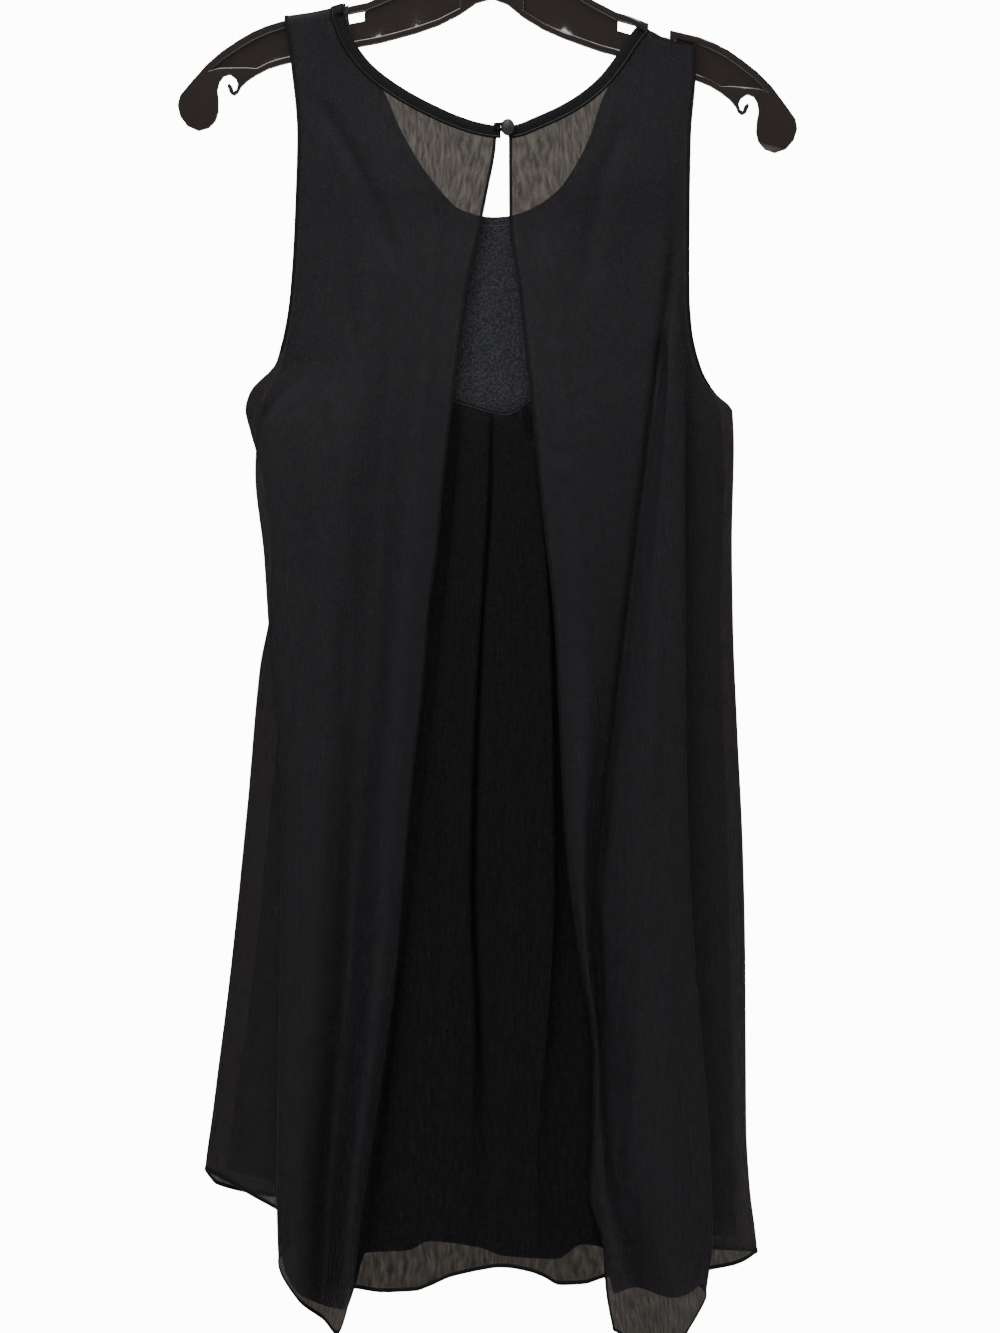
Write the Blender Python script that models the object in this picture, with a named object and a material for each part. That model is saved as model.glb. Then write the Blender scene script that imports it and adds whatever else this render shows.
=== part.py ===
"""A sleeveless cocktail dress hung on a moulded plastic hanger, seen from the dress's back.

World frame in metres, +Z up, the garment's back facing -Y and its left in the view at -X.
The origin is the hang point, the inner top of the hanger's hook. All sizes below are in
millimetres: x across from the centre line, drop below the shoulder line, y depth.
"""
import math

import bmesh
import bpy
import numpy as np

SHOULDER = 130.0      # hang point down to the shoulder line
CLOTH = 1.0           # wall of every cloth panel
BINDING = 2.0         # wall of the folded neck binding
BINDING_WIDE = 7.8    # width of the neck binding
SEAM = 0.3            # gap between pieces that are sewn together
SLIP_RISE = 1.1       # slip's mid surface above the hanger's edge
OVER_RISE = 2.9       # overlay's mid surface above the hanger's edge
SLIP_FACE = 6.4       # slip's mid surface in front of the hanger's centre plane
OVER_FACE = 8.6       # overlay's mid surface there
TILT = math.radians(2.2)   # the hanger hangs a little lower on its right
HANGER_THICK = 10.0
HANGER_WEB = 3.4      # thickness left between the two recessed faces
RIM = 4.4             # width of the raised rim round the recess
HANGER_DROP = 175.4   # hang point down to the hanger profile's own zero height

# The hanger's upper edge: (x, height) from the tip's top to the centre.
ARM_TOP = ((206.4, -8.4), (196.1, 4.2), (186.1, 13.6), (174.9, 21.8), (165.3, 27.9),
           (155.7, 32.5), (144.5, 36.4), (124.2, 40.3), (109.2, 44.3), (96.9, 48.7),
           (86.5, 51.3), (70.0, 59.0), (52.0, 69.0), (34.0, 78.5), (17.0, 84.0))
# The hanger's lower edge from the centre out to where the end curl starts.
ARM_UNDER = ((0.0, 57.5), (10.8, 53.9), (21.9, 45.5), (36.4, 37.4), (51.2, 31.6),
             (64.6, 27.3), (77.2, 23.5), (92.2, 20.2), (108.0, 16.5), (123.0, 12.6),
             (138.4, 7.7), (145.4, 5.6), (153.1, 2.9), (161.3, -1.7), (167.5, -6.2),
             (171.6, -10.5), (173.6, -14.8))
# The curled end below the tip, from the curl's outside round its tip to the arm's end.
ARM_CURL = ((176.3, -16.7), (179.2, -15.1), (181.2, -10.2), (180.1, -8.0),
            (177.6, -10.4), (176.7, -13.9), (174.9, -12.8), (173.9, -9.2),
            (175.4, -5.1), (179.7, -2.1), (184.1, -3.6), (186.7, -7.6), (187.9, -13.3),
            (186.9, -19.7), (186.6, -28.0), (188.4, -34.5), (193.1, -39.7),
            (200.1, -42.0), (208.0, -38.8), (213.1, -32.5), (215.2, -24.9),
            (213.7, -17.9))
NOTCH = ((109.2, 60.0), (109.2, 33.6), (111.0, 31.6), (122.4, 28.6), (124.2, 29.8),
         (124.2, 60.0))
WINDOW = (88.0, 100.5, 37.2, 43.6)   # left, right, bottom and top of the slot in the arm

# The overlay's top edge where it hangs before the right arm: (x, drop).
RIGHT_TOP = ((95.6, 7.0), (103.5, 9.5), (108.2, 11.7), (113.0, 14.4), (117.4, 15.5),
             (120.0, 17.7), (127.6, 18.7), (137.2, 19.8))
# The overlay where it crosses the hanger's right notch.
NOTCH_LEFT, NOTCH_RIGHT = 105.6, 117.4
NOTCH_DROP_LEFT, NOTCH_DROP_RIGHT = 14.2, 17.4

# Neck edges: (x, drop), left to right.
BACK_NECK = ((-107.0, 0.6), (-103.9, 10.0), (-97.2, 22.2), (-86.6, 35.0), (-71.7, 46.7),
             (-56.6, 56.0), (-41.6, 63.6), (-29.1, 69.2), (-13.2, 74.4), (-1.4, 76.4),
             (6.4, 76.6), (11.2, 76.1), (23.8, 71.3), (45.1, 61.3), (60.1, 51.4),
             (70.7, 41.6), (81.0, 28.4), (89.1, 16.0), (94.7, 8.4))
FRONT_NECK = ((-107.0, 0.6), (-98.0, 24.0), (-84.0, 54.0), (-68.0, 84.0), (-49.0, 110.0),
              (-25.0, 135.0), (0.0, 148.0), (24.0, 140.0), (48.0, 112.0), (67.0, 84.0),
              (81.0, 54.0), (89.5, 26.0), (94.7, 8.4))
SLIP_NECK = ((-107.0, 2.0), (-99.0, 24.0), (-91.0, 44.0), (-82.0, 66.5), (-76.7, 80.3),
             (-66.2, 98.4), (-55.6, 114.2), (-45.0, 125.0), (-29.0, 134.3),
             (-13.2, 139.1), (7.9, 138.6), (23.8, 134.3), (39.7, 125.0), (50.4, 113.2),
             (61.0, 98.4), (71.6, 79.3), (79.0, 60.0), (87.0, 34.0), (94.7, 11.0))

# Left back flap. Columns: drop, then x at edge, inner ridge, trough, outer ridge,
# border fold, tuck behind it, side, side seam.
LEFT_X = (
    (-15, -1.0, -34, -66, -96, -116.0, -127, -139, -150.8),
    (30, -1.0, -34, -65, -94, -114.8, -124, -134.5, -144.5),
    (83, -1.3, -31, -60, -88, -108, -119, -129.5, -139.7),
    (128, -8.5, -34, -61, -88, -108.5, -119.5, -130.5, -140.9),
    (190, -21.5, -44, -68, -92, -113, -124, -134.5, -144.4),
    (240, -28.0, -50, -73, -98, -122, -134, -144, -154.1),
    (261, -30.5, -52, -76, -102, -143, -152, -162, -172.7),
    (273, -32.0, -53, -77, -104, -155, -160, -167, -175.9),
    (288, -34.0, -55, -79, -107, -164.0, -158, -165, -172.5),
    (319, -37.4, -58, -82, -112, -166.9, -154, -158, -164.0),
    (373, -42.5, -62, -86, -116, -161.4, -148, -152, -157.5),
    (409, -47.5, -66, -90, -118, -159.2, -146, -151, -158.5),
    (453, -50.9, -70, -93, -119, -156.5, -143, -153, -166.0),
    (544, -60.6, -77, -99, -122, -149.6, -136, -156, -174.2),
    (665, -71.0, -84, -104, -128, -150.8, -136, -163, -186.6),
    (755, -83.0, -94, -112, -134, -152.2, -138, -170, -197.9),
    (813, -91.8, -101, -117, -137, -152.7, -139, -174, -204.6),
    (915, -104.0, -110, -122, -139, -149.0, -139, -176, -205.5),
)
# The same columns, depth y. It holds below the yoke, where the flap hangs free.
LEFT_Y = (
    (128, -18.5, -18.5, -17.5, -15.5, -13.5, -12.0, -10.8, -9.8),
    (190, -25, -25.5, -22.5, -20.5, -16.5, -14.0, -12.0, -9.8),
    (240, -31, -31.5, -27.0, -26.5, -20.5, -16.5, -13.0, -7.5),
    (273, -34, -35.5, -30.0, -31.0, -22.0, -16.0, -9.5, -0.7),
    (319, -38, -40.0, -32.5, -37.0, -26.5, -15.0, -7.0, -0.7),
    (409, -42, -46.5, -35.5, -43.0, -34.0, -19.0, -9.0, -0.7),
    (544, -47, -54.0, -40.0, -52.0, -45.0, -26.0, -14.5, -0.7),
    (665, -51, -60.0, -43.0, -58.0, -54.0, -33.0, -19.5, -0.7),
    (813, -56, -68.0, -47.0, -66.0, -62.0, -40.0, -24.5, -0.7),
    (915, -58, -72.0, -49.0, -70.0, -66.0, -44.0, -27.0, -0.7),
)
# Hem drop at those eight columns.
LEFT_HEM = (877.0, 909.0, 901.0, 886.0, 862.0, 838.0, 815.5, 800.5)

RIGHT_X = (
    (-15, 8.0, 34, 60, 84, 103.2, 114.5, 126, 137.2),
    (40, 8.0, 34, 61, 85, 104.5, 115.5, 126, 136.8),
    (84, 7.0, 36, 66, 92, 110, 119, 126, 133.5),
    (140, 7.2, 40, 78, 103, 116, 122.5, 127.5, 132.6),
    (190, 14.0, 48, 95, 111, 121, 125, 128.8, 132.4),
    (218, 16.7, 52, 104, 116, 125, 127.5, 130.5, 134.2),
    (244, 19.8, 54, 107.5, 118.5, 127.5, 129.5, 134, 140.5),
    (262, 21.8, 55, 106.5, 118, 129.3, 129.5, 139, 151.0),
    (273, 22.8, 55.5, 105.5, 117.5, 129.6, 127, 144, 162.4),
    (298, 25.3, 56, 103, 116, 129.4, 122, 147, 163.6),
    (364, 32.1, 57, 95.5, 112, 129.0, 117, 146, 162.2),
    (424, 38.7, 59, 87.5, 108, 129.0, 116, 146.5, 163.0),
    (497, 41.9, 60, 78.8, 105, 129.3, 116, 148.5, 166.0),
    (578, 46.3, 58, 71.2, 102, 131.0, 117, 151.5, 169.8),
    (651, 54.9, 61, 69.6, 101, 134.8, 120, 154, 171.4),
    (719, 64.6, 69, 76.0, 102, 140.6, 125, 157, 171.8),
    (772, 64.6, 70, 78.0, 105, 144.5, 129, 159, 172.2),
    (813, 62.5, 73, 84.0, 109, 146.3, 131, 162, 174.6),
    (847, 71.4, 82, 94.0, 116, 147.0, 132, 164, 178.8),
    (880, 73.6, 90, 104.0, 122, 143.0, 133, 166, 181.5),
    (925, 82.6, 99, 110.0, 125, 139.0, 133, 167, 182.5),
)
RIGHT_Y = (
    (128, -18.5, -17.5, -14.5, -12.5, -11.5, -11.0, -10.4, -9.8),
    (190, -25, -24.5, -16.5, -17.5, -15.5, -14.0, -12.0, -9.8),
    (244, -31, -31.5, -20.5, -26.0, -20.5, -16.5, -12.0, -7.5),
    (273, -34, -36.0, -25.0, -31.0, -24.0, -16.0, -11.0, -0.7),
    (319, -38, -41.0, -29.0, -37.0, -30.0, -17.0, -11.5, -0.7),
    (409, -42, -47.0, -34.0, -45.0, -38.0, -22.0, -13.5, -0.7),
    (544, -47, -54.5, -40.0, -53.0, -47.0, -28.0, -18.0, -0.7),
    (665, -51, -57.0, -44.5, -60.0, -54.0, -34.0, -21.5, -0.7),
    (813, -56, -64.0, -54.0, -68.0, -62.0, -41.0, -25.0, -0.7),
    (925, -58, -68.0, -60.0, -72.0, -66.0, -44.0, -27.0, -0.7),
)
RIGHT_HEM = (908.0, 919.0, 924.5, 917.0, 886.0, 872.0, 864.5, 858.0)

# Front overlay and slip sections. Columns: drop, overlay depth, slip back depth,
# slip front depth, slip left x, slip right x.
SECTION = (
    (20, 8.5, 6.3, 6.3, -146.0, 134.4),
    (40, 8.5, 6.3, 6.3, -141.5, 133.8),
    (90, 12.0, 9.5, 9.0, -137.0, 130.0),
    (140, 18.0, 12.5, 13.5, -138.0, 129.0),
    (190, 25.0, 15.0, 19.0, -141.0, 128.5),
    (240, 33.0, 18.5, 25.0, -149.5, 134.0),
    (273, 37.0, 22.5, 28.0, -164.0, 153.5),
    (319, 41.0, 25.0, 31.0, -156.0, 156.5),
    (409, 45.0, 27.5, 34.0, -145.5, 154.0),
    (544, 52.0, 31.5, 39.0, -158.0, 158.0),
    (665, 60.0, 35.0, 45.0, -170.0, 161.0),
    (813, 70.0, 38.0, 52.0, -189.0, 164.0),
    (925, 76.0, 40.0, 56.0, -192.0, 168.0),
)
# Hem drops by x: the slip's back follows the overlay's points, its front is plainer.
SLIP_HEM = ((-200, 797), (-158, 806), (-148, 868), (-136, 886), (-105, 895), (-99, 880),
            (-92, 856), (-62, 854), (-48, 848), (-14, 852), (4, 858), (40, 860),
            (58, 850), (72, 852), (79, 884), (93, 880), (120, 888), (136, 882),
            (147, 845), (175, 847))
SLIP_FRONT_HEM = ((-200, 797), (-110, 824), (0, 834), (100, 841), (175, 846))
OVER_HEM = ((-206, 800), (-196, 812), (-150, 824), (-60, 842), (0, 846), (70, 850),
            (140, 858), (182, 858))

# Soft flutes of the hidden front and of the slip: middle as a fraction of the width from
# -1 to 1, half width, depth in mm at the hem, drop where it starts.
FRONT_FLUTES = ((-0.72, 0.10, 9.0, 380), (-0.43, 0.13, -11.0, 300), (-0.12, 0.12, 12.0, 420),
                (0.19, 0.11, -9.0, 350), (0.47, 0.12, 11.0, 330), (0.76, 0.09, -8.0, 460))
SLIP_FLUTES = ((-0.60, 0.16, 4.0, 400), (-0.10, 0.18, -3.5, 450), (0.45, 0.16, 4.0, 420))

# Pleated centre panel. Columns: drop, then x at hidden left edge, left ridge, left
# trough, main pleat's lip, its root, its far lip, soft crease, right pleat's lip, its
# root, hidden right edge.
PLEAT_X = (
    (264, -50, -38, -26, -8, -4.6, -1.5, 10, 22, 26, 46),
    (320, -58, -42, -28, -9.2, -5.5, -2.0, 12, 27, 31, 54),
    (431, -74, -55, -35, -15.5, -11.5, -7.5, 18.8, 35, 39, 66),
    (519, -86, -62, -42, -20, -15.6, -10.0, 23.1, 37, 41.5, 72),
    (611, -98, -70, -47, -22.5, -17.4, -11.5, 21, 38, 42.5, 80),
    (692, -106, -78, -50, -20, -15.0, -8.5, 18, 34, 38.5, 88),
    (786, -113, -86, -55, -19, -13.2, -7.0, 15.6, 29, 33.8, 95),
    (890, -119, -93, -61, -24, -17.8, -11.5, 13.0, 30, 35.0, 102),
)
PLEAT_Y = (
    (264, -27.6, -28.0, -28.4, -29.8, -27.6, -28.8, -28.6, -29.8, -27.8, -27.0),
    (320, -29.8, -31.5, -30.0, -33.0, -29.0, -32.0, -30.8, -33.0, -29.4, -29.0),
    (431, -31.5, -35.5, -32.5, -38.0, -31.5, -37.5, -34.0, -38.0, -32.0, -31.5),
    (519, -34.0, -38.5, -34.5, -42.0, -34.4, -41.5, -37.0, -42.0, -35.0, -34.0),
    (611, -36.5, -41.0, -36.8, -45.0, -36.8, -44.5, -39.5, -44.5, -37.2, -36.5),
    (786, -41.0, -44.5, -41.5, -50.0, -41.2, -50.0, -44.0, -49.0, -41.8, -41.0),
    (890, -43.5, -47.5, -44.0, -53.5, -43.6, -53.0, -47.5, -52.5, -44.5, -43.0),
)
PLEAT_TOP = ((-52, 254), (-37, 262.5), (-26.4, 267.5), (-15.6, 270.8), (-4.6, 274.1),
             (4.4, 275.6), (12, 273.0), (22.1, 265.3), (34, 258), (48, 250))
PLEAT_HEM = ((-124, 878), (-97, 880.3), (-79, 882.7), (-57.4, 881.9), (-48.2, 878.8),
             (-32.7, 871.8), (-15.1, 867.8), (0.3, 865.4), (22, 868.6), (31.3, 872.3),
             (42.1, 877.8), (59.1, 877.1), (72.2, 873.0), (104, 868))

BUTTON_X, BUTTON_DROP = 6.4, 79.6
BUTTON_R = 4.9


def along(table, at, column=1):
    """A column of a table read at a position, by a smooth curve that never overshoots."""
    rows = np.asarray(table, float)
    xs, ys = rows[:, 0], rows[:, column]
    at = float(min(max(at, xs[0]), xs[-1]))
    slopes = np.diff(ys) / np.diff(xs)
    k = int(min(np.searchsorted(xs, at, side="right") - 1, len(xs) - 2))

    def tangent(i):
        if i == 0 or i == len(xs) - 1:
            return slopes[min(i, len(slopes) - 1)]
        before, after = slopes[i - 1], slopes[i]
        if before * after <= 0:
            return 0.0
        return 2 * before * after / (before + after)

    wide = xs[k + 1] - xs[k]
    t = (at - xs[k]) / wide
    return ((2 * t**3 - 3 * t**2 + 1) * ys[k] + (t**3 - 2 * t**2 + t) * wide * tangent(k)
            + (3 * t**2 - 2 * t**3) * ys[k + 1] + (t**3 - t**2) * wide * tangent(k + 1))


def across(knots, s):
    """A smooth curve through the knots of one section, with s counting the knots."""
    k = int(min(max(math.floor(s), 0), len(knots) - 2))
    t = s - k
    a, b = knots[k], knots[k + 1]
    before = knots[k - 1] if k > 0 else 2 * a - b
    after = knots[k + 2] if k + 2 < len(knots) else 2 * b - a
    return 0.5 * (2 * a + (b - before) * t + (2 * before - 5 * a + 4 * b - after) * t**2
                  + (3 * a - before - 3 * b + after) * t**3)


def ease(value):
    value = min(max(value, 0.0), 1.0)
    return value * value * (3 - 2 * value)


def roll(fall, reach):
    """0 on the hanger's ridge and 1 once the cloth has turned down its face."""
    t = min(max(fall / reach, 0.0), 1.0)
    return math.sqrt(1 - (1 - t) ** 2)


def yoke_y(x, drop):
    """Depth of the back yoke, flat on the hanger's arm and bowed out below the neck."""
    bow = ease((drop - 22) / 110) * (1 - (x / 150) ** 2)
    return -(OVER_FACE + 11.5 * bow)


def material(name, colour, rough):
    made = bpy.data.materials.new(name)
    made.use_nodes = True
    shader = made.node_tree.nodes["Principled BSDF"]
    shader.inputs["Base Color"].default_value = (*colour, 1.0)
    shader.inputs["Roughness"].default_value = rough
    return made


def add_mesh(name, bm, slot):
    bmesh.ops.recalc_face_normals(bm, faces=bm.faces)
    mesh = bpy.data.meshes.new(name)
    bm.to_mesh(mesh)
    bm.free()
    mesh.materials.append(slot)
    made = bpy.data.objects.new(name, mesh)
    bpy.context.scene.collection.objects.link(made)
    return made


def cloth(name, grid, slot, wall=CLOTH, missing=()):
    """A closed thin wall on both sides of a grid of (x, y, drop) points.

    missing holds the (row, column) cells that the piece doesn't have.
    """
    rows, columns = len(grid), len(grid[0])
    points = np.array([[(p[0], p[1], -SHOULDER - p[2]) for p in row] for row in grid])
    cells = [(i, j) for i in range(rows - 1) for j in range(columns - 1)
             if (i, j) not in missing]
    normals = np.zeros_like(points)
    for i, j in cells:
        corners = ((i, j), (i + 1, j), (i + 1, j + 1), (i, j + 1))
        facing = np.cross(points[corners[2]] - points[corners[0]],
                          points[corners[3]] - points[corners[1]])
        facing /= np.linalg.norm(facing) or 1.0
        for corner in corners:
            normals[corner] += facing
    sizes = np.linalg.norm(normals, axis=2, keepdims=True)
    normals /= np.where(sizes > 0, sizes, 1.0)
    used = sorted({corner for i, j in cells
                   for corner in ((i, j), (i + 1, j), (i + 1, j + 1), (i, j + 1))})
    bm = bmesh.new()
    near = {c: bm.verts.new((points[c] - normals[c] * wall / 2) / 1000) for c in used}
    far = {c: bm.verts.new((points[c] + normals[c] * wall / 2) / 1000) for c in used}
    edges = {}
    for i, j in cells:
        corners = ((i, j), (i + 1, j), (i + 1, j + 1), (i, j + 1))
        bm.faces.new([near[c] for c in corners])
        bm.faces.new([far[c] for c in reversed(corners)])
        for a, b in zip(corners, corners[1:] + corners[:1]):
            edges[(a, b)] = 1
    for a, b in edges:
        if (b, a) not in edges:
            bm.faces.new((near[b], near[a], far[a], far[b]))
    return add_mesh(name, bm, slot)


FALLS = (7.0, 16, 29, 45, 64, 87, 114, 144, 178, 215, 256, 300, 352, 412, 478, 548, 618,
         688, 752, 806, 846, 873)


def falls(count):
    """How far each row lies down a panel, as a fraction, closer together at the top."""
    full = np.array(FALLS) - FALLS[0]
    full = full / full[-1]
    return np.interp(np.linspace(0, 1, count), np.linspace(0, 1, len(full)), full)


def find_top(x_at, neck):
    """The drop where a column crosses a neck edge."""
    low, high = -12.0, 170.0
    for _ in range(40):
        middle = (low + high) / 2
        if middle < along(neck, x_at(middle)):
            low = middle
        else:
            high = middle
    return high


def arm_drop(x):
    """Drop of the left arm's upper edge at a place across the dress."""
    edge = sorted(hung(-point[0], point[1]) for point in ARM_TOP)
    return along([(a, -b - SHOULDER) for a, b in edge], x)


def strap_rows(x_full, side, rise, face, facing):
    """The three rows of one strap column over the hanger's ridge, and the drop of row 3.

    On the left the strap lies over the arm. On the right it is bunched in the notch and
    fans out again in front of the arm, just below the arm's upper edge.
    """
    bend = 0.6 * rise + 0.25
    if side == "left":
        top = arm_drop(x_full) - rise
        return [(x_full, facing * (SEAM / 2 + 0.1), top),
                (x_full, facing * (face - bend), top + 0.2),
                (x_full, facing * face, top + rise + 1.2)], top + 8.0
    share = (x_full - 94.7) / (137.2 - 94.7)
    tight = NOTCH_LEFT + share * (NOTCH_RIGHT - NOTCH_LEFT)
    lift = OVER_RISE - rise
    floor = NOTCH_DROP_LEFT + share * (NOTCH_DROP_RIGHT - NOTCH_DROP_LEFT) + lift
    return [(tight, facing * (SEAM / 2 + 0.1), floor),
            (tight, facing * (face - bend), floor),
            (tight * 0.9 + x_full * 0.1, facing * face, floor + 0.4)], \
        max(along(RIGHT_TOP, x_full) + lift * 1.7, (floor + 1.6) * (lift > 0))


def flap(name, table_x, table_y, hem, side, steps, slot):
    """One back flap, open down the middle, from the neck binding to its pointed hem."""
    neck = offset_neck(BACK_NECK, BINDING_WIDE + SEAM, 1)
    knots_x = np.asarray(table_x, float)
    knots_y = np.asarray(table_y, float)

    def at(s, drop):
        x = across([along(knots_x, drop, k) for k in range(1, 9)], s)
        y = across([along(knots_y, drop, k) for k in range(1, 9)], s)
        mixed = ease((drop - 110) / 70)
        return x, yoke_y(x, drop) * (1 - mixed) + y * mixed

    columns = [k + i / count for k, count in enumerate(steps) for i in range(count)] + [7.0]
    share = falls(20)
    grid = [[None] * len(columns) for _ in range(3 + len(share))]
    missing = set()
    for j, s in enumerate(columns):
        hem_drop = across(hem, s)
        if s >= 4:
            over, top = strap_rows(at(s, 0)[0], side, OVER_RISE, OVER_FACE, -1)
        else:
            top = find_top(lambda drop: at(s, drop)[0], neck)
            over = [(at(s, top)[0], at(s, top)[1], top)] * 3
            missing |= {(0, j), (1, j), (2, j)}
        for i in range(3):
            grid[i][j] = over[i]
        for i, part in enumerate(share):
            drop = top + (hem_drop - top) * part
            x, y = at(s, drop)
            grid[3 + i][j] = (x, y, drop)
    cloth(name, grid, slot, missing=missing)
    corner = columns.index(4.0)
    return [grid[3][j] for j in range(corner + 1)], [grid[i][corner] for i in range(3)]


def offset_neck(neck, wide, way):
    """A neck edge moved outward into the cloth by a width. way is 1 for down."""
    rows = np.asarray(neck, float)
    slope = np.gradient(rows, axis=0)
    slope /= np.linalg.norm(slope, axis=1, keepdims=True)
    moved = rows + wide * way * np.stack([-slope[:, 1], slope[:, 0]], axis=1)
    return [tuple(row) for row in moved]


def ring_panel(name, neck, facing, rise, face, depth_column, sides, hem, flutes, slot,
               columns, rows):
    """A panel with two straps and a scooped neck: the slip's two sides, the front."""
    full = 2.6 if rise == OVER_RISE else 2.1
    share = falls(rows)
    count = len(columns)
    grid = [[None] * count for _ in range(3 + len(share))]
    missing = set()

    def at(part, drop):
        left, right = sides(drop)
        middle, half = (left + right) / 2, (right - left) / 2
        x = middle + half * part
        inner = along(SECTION, drop, depth_column)
        closed = ease((drop - 225) / 45)
        edge = face * (1 - closed) + (SEAM / 2 + 0.45) * closed
        y = edge + (inner - edge) * max(1 - abs(part) ** full, 0.0) ** 0.7
        for centre, wide, deep, start in flutes:
            grown = ease((drop - start) / 420)
            y += deep * grown * math.exp(-((part - centre) / wide) ** 2)
        return x, facing * y

    for j, part in enumerate(columns):
        strap = abs(part) >= 0.7
        if strap:
            side = "left" if part < 0 else "right"
            over, top = strap_rows(at(part, 0)[0], side, rise, face, facing)
        else:
            top = find_top(lambda drop: at(part, drop)[0], neck)
            over = [(at(part, top)[0], at(part, top)[1], top)] * 3
        for i in range(3):
            grid[i][j] = over[i]
        if not strap or (j + 1 < count and abs(columns[j + 1]) < 0.7):
            missing |= {(0, j), (1, j), (2, j)}
        hem_drop = along(hem, at(part, 860)[0])
        for i, down in enumerate(share):
            drop = top + (hem_drop - top) * down
            x, y = at(part, drop)
            grid[3 + i][j] = (x, y, drop)
    cloth(name, grid, slot, missing=missing)
    first, last = columns.index(-0.70), columns.index(0.70)
    return ([grid[3][j] for j in range(first, last + 1)],
            [grid[i][first] for i in range(3)])


def pleat_panel(slot):
    """The pleated chiffon set into the centre back, hung from the slip's curved seam."""
    knots_x = np.asarray(PLEAT_X, float)
    knots_y = np.asarray(PLEAT_Y, float)
    steps = (1, 2, 2, 2, 2, 2, 2, 2, 2)
    columns = [k + i / count for k, count in enumerate(steps) for i in range(count)] + [9.0]
    grid = []
    for down in np.linspace(0, 1, 13):
        row = []
        for s in columns:
            hem_x = across([along(knots_x, 875, k) for k in range(1, 11)], s)
            top_x = across([along(knots_x, 268, k) for k in range(1, 11)], s)
            top = along(PLEAT_TOP, top_x)
            drop = top + (along(PLEAT_HEM, hem_x) - top) * down
            x = across([along(knots_x, drop, k) for k in range(1, 11)], s)
            y = across([along(knots_y, drop, k) for k in range(1, 11)], s)
            row.append((x, y, drop))
        grid.append(row)
    return cloth("back_pleat_panel", grid, slot)


def binding(name, edge, over, slot):
    """A folded strip along a panel's neck edge, made from that edge's own points.

    over holds the panel's points across the hanger's ridge, where the strip crosses it
    too. On the right it ends at the notch, so over is empty there.
    """
    flat = np.array([(p[0], p[2]) for p in edge])
    run = np.gradient(flat, axis=0)
    run /= np.linalg.norm(run, axis=1, keepdims=True)
    inward = np.stack([run[:, 1], -run[:, 0]], axis=1)
    rows = [[(p[0] + n[0] * gap, p[1], p[2] + n[1] * gap)
             for gap in (SEAM, SEAM + BINDING_WIDE / 2, SEAM + BINDING_WIDE)]
            for p, n in zip(edge, inward)]
    rows = [[(p[0] + gap, p[1], p[2] + arm_drop(p[0] + gap) - arm_drop(p[0])) for gap in
             (SEAM, SEAM + BINDING_WIDE / 2, SEAM + BINDING_WIDE)] for p in over] + rows
    return cloth(name, rows, slot, wall=BINDING)


def disc_stack(name, profile, centre, slot, sides=20):
    """A turned shape about Y, from (radius, y) rows closed at both ends."""
    bm = bmesh.new()
    rings = []
    for radius, y in profile:
        rings.append([bm.verts.new(((centre[0] + radius * math.cos(a)) / 1000, y / 1000,
                                    (-SHOULDER - centre[1] + radius * math.sin(a)) / 1000))
                      for a in (2 * math.pi * n / sides for n in range(sides))])
    for low, high in zip(rings, rings[1:]):
        for n in range(sides):
            m = (n + 1) % sides
            bm.faces.new((low[n], low[m], high[m], high[n]))
    bm.faces.new(rings[0])
    bm.faces.new(rings[-1])
    return add_mesh(name, bm, slot)


def cord(name, path, radius, slot, sides=8):
    """A round cord along a path of (x, y, z) points in mm, capped at both ends."""
    path = np.asarray(path, float)
    bm = bmesh.new()
    rings = []
    side = None
    for k in range(len(path)):
        run = path[min(k + 1, len(path) - 1)] - path[max(k - 1, 0)]
        run /= np.linalg.norm(run)
        if side is None:
            side = np.cross(run, (0.0, 1.0, 0.0))
        side = side - run * np.dot(side, run)
        side /= np.linalg.norm(side)
        up = np.cross(run, side)
        rings.append([bm.verts.new((path[k] + radius * (side * math.cos(a) + up * math.sin(a)))
                                   / 1000) for a in (2 * math.pi * n / sides
                                                     for n in range(sides))])
    for low, high in zip(rings, rings[1:]):
        for n in range(sides):
            m = (n + 1) % sides
            bm.faces.new((low[n], low[m], high[m], high[n]))
    bm.faces.new(rings[0])
    bm.faces.new(rings[-1])
    return add_mesh(name, bm, slot)


def hung(x, height):
    """A point of the hanger's own profile, turned with the hanger about the hang point."""
    up = height - HANGER_DROP
    return (x * math.cos(TILT) + up * math.sin(TILT),
            -x * math.sin(TILT) + up * math.cos(TILT))


def prism(name, outline, front, back):
    """A flat outline of hanger-profile points made solid between two depths."""
    bm = bmesh.new()
    turned = [hung(*point) for point in outline]
    near = [bm.verts.new((x / 1000, front / 1000, z / 1000)) for x, z in turned]
    far = [bm.verts.new((x / 1000, back / 1000, z / 1000)) for x, z in turned]
    bm.faces.new(near)
    bm.faces.new(far)
    for n in range(len(near)):
        m = (n + 1) % len(near)
        bm.faces.new((near[n], near[m], far[m], far[n]))
    return add_mesh(name, bm, black)


def mirrored(points):
    return [(-x, height) for x, height in points]


def cut(body, tool, operation="DIFFERENCE"):
    step = body.modifiers.new(tool.name, "BOOLEAN")
    step.operation = operation
    step.object = tool
    step.solver = "EXACT"
    tool.hide_render = True
    tool.display_type = "WIRE"


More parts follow.
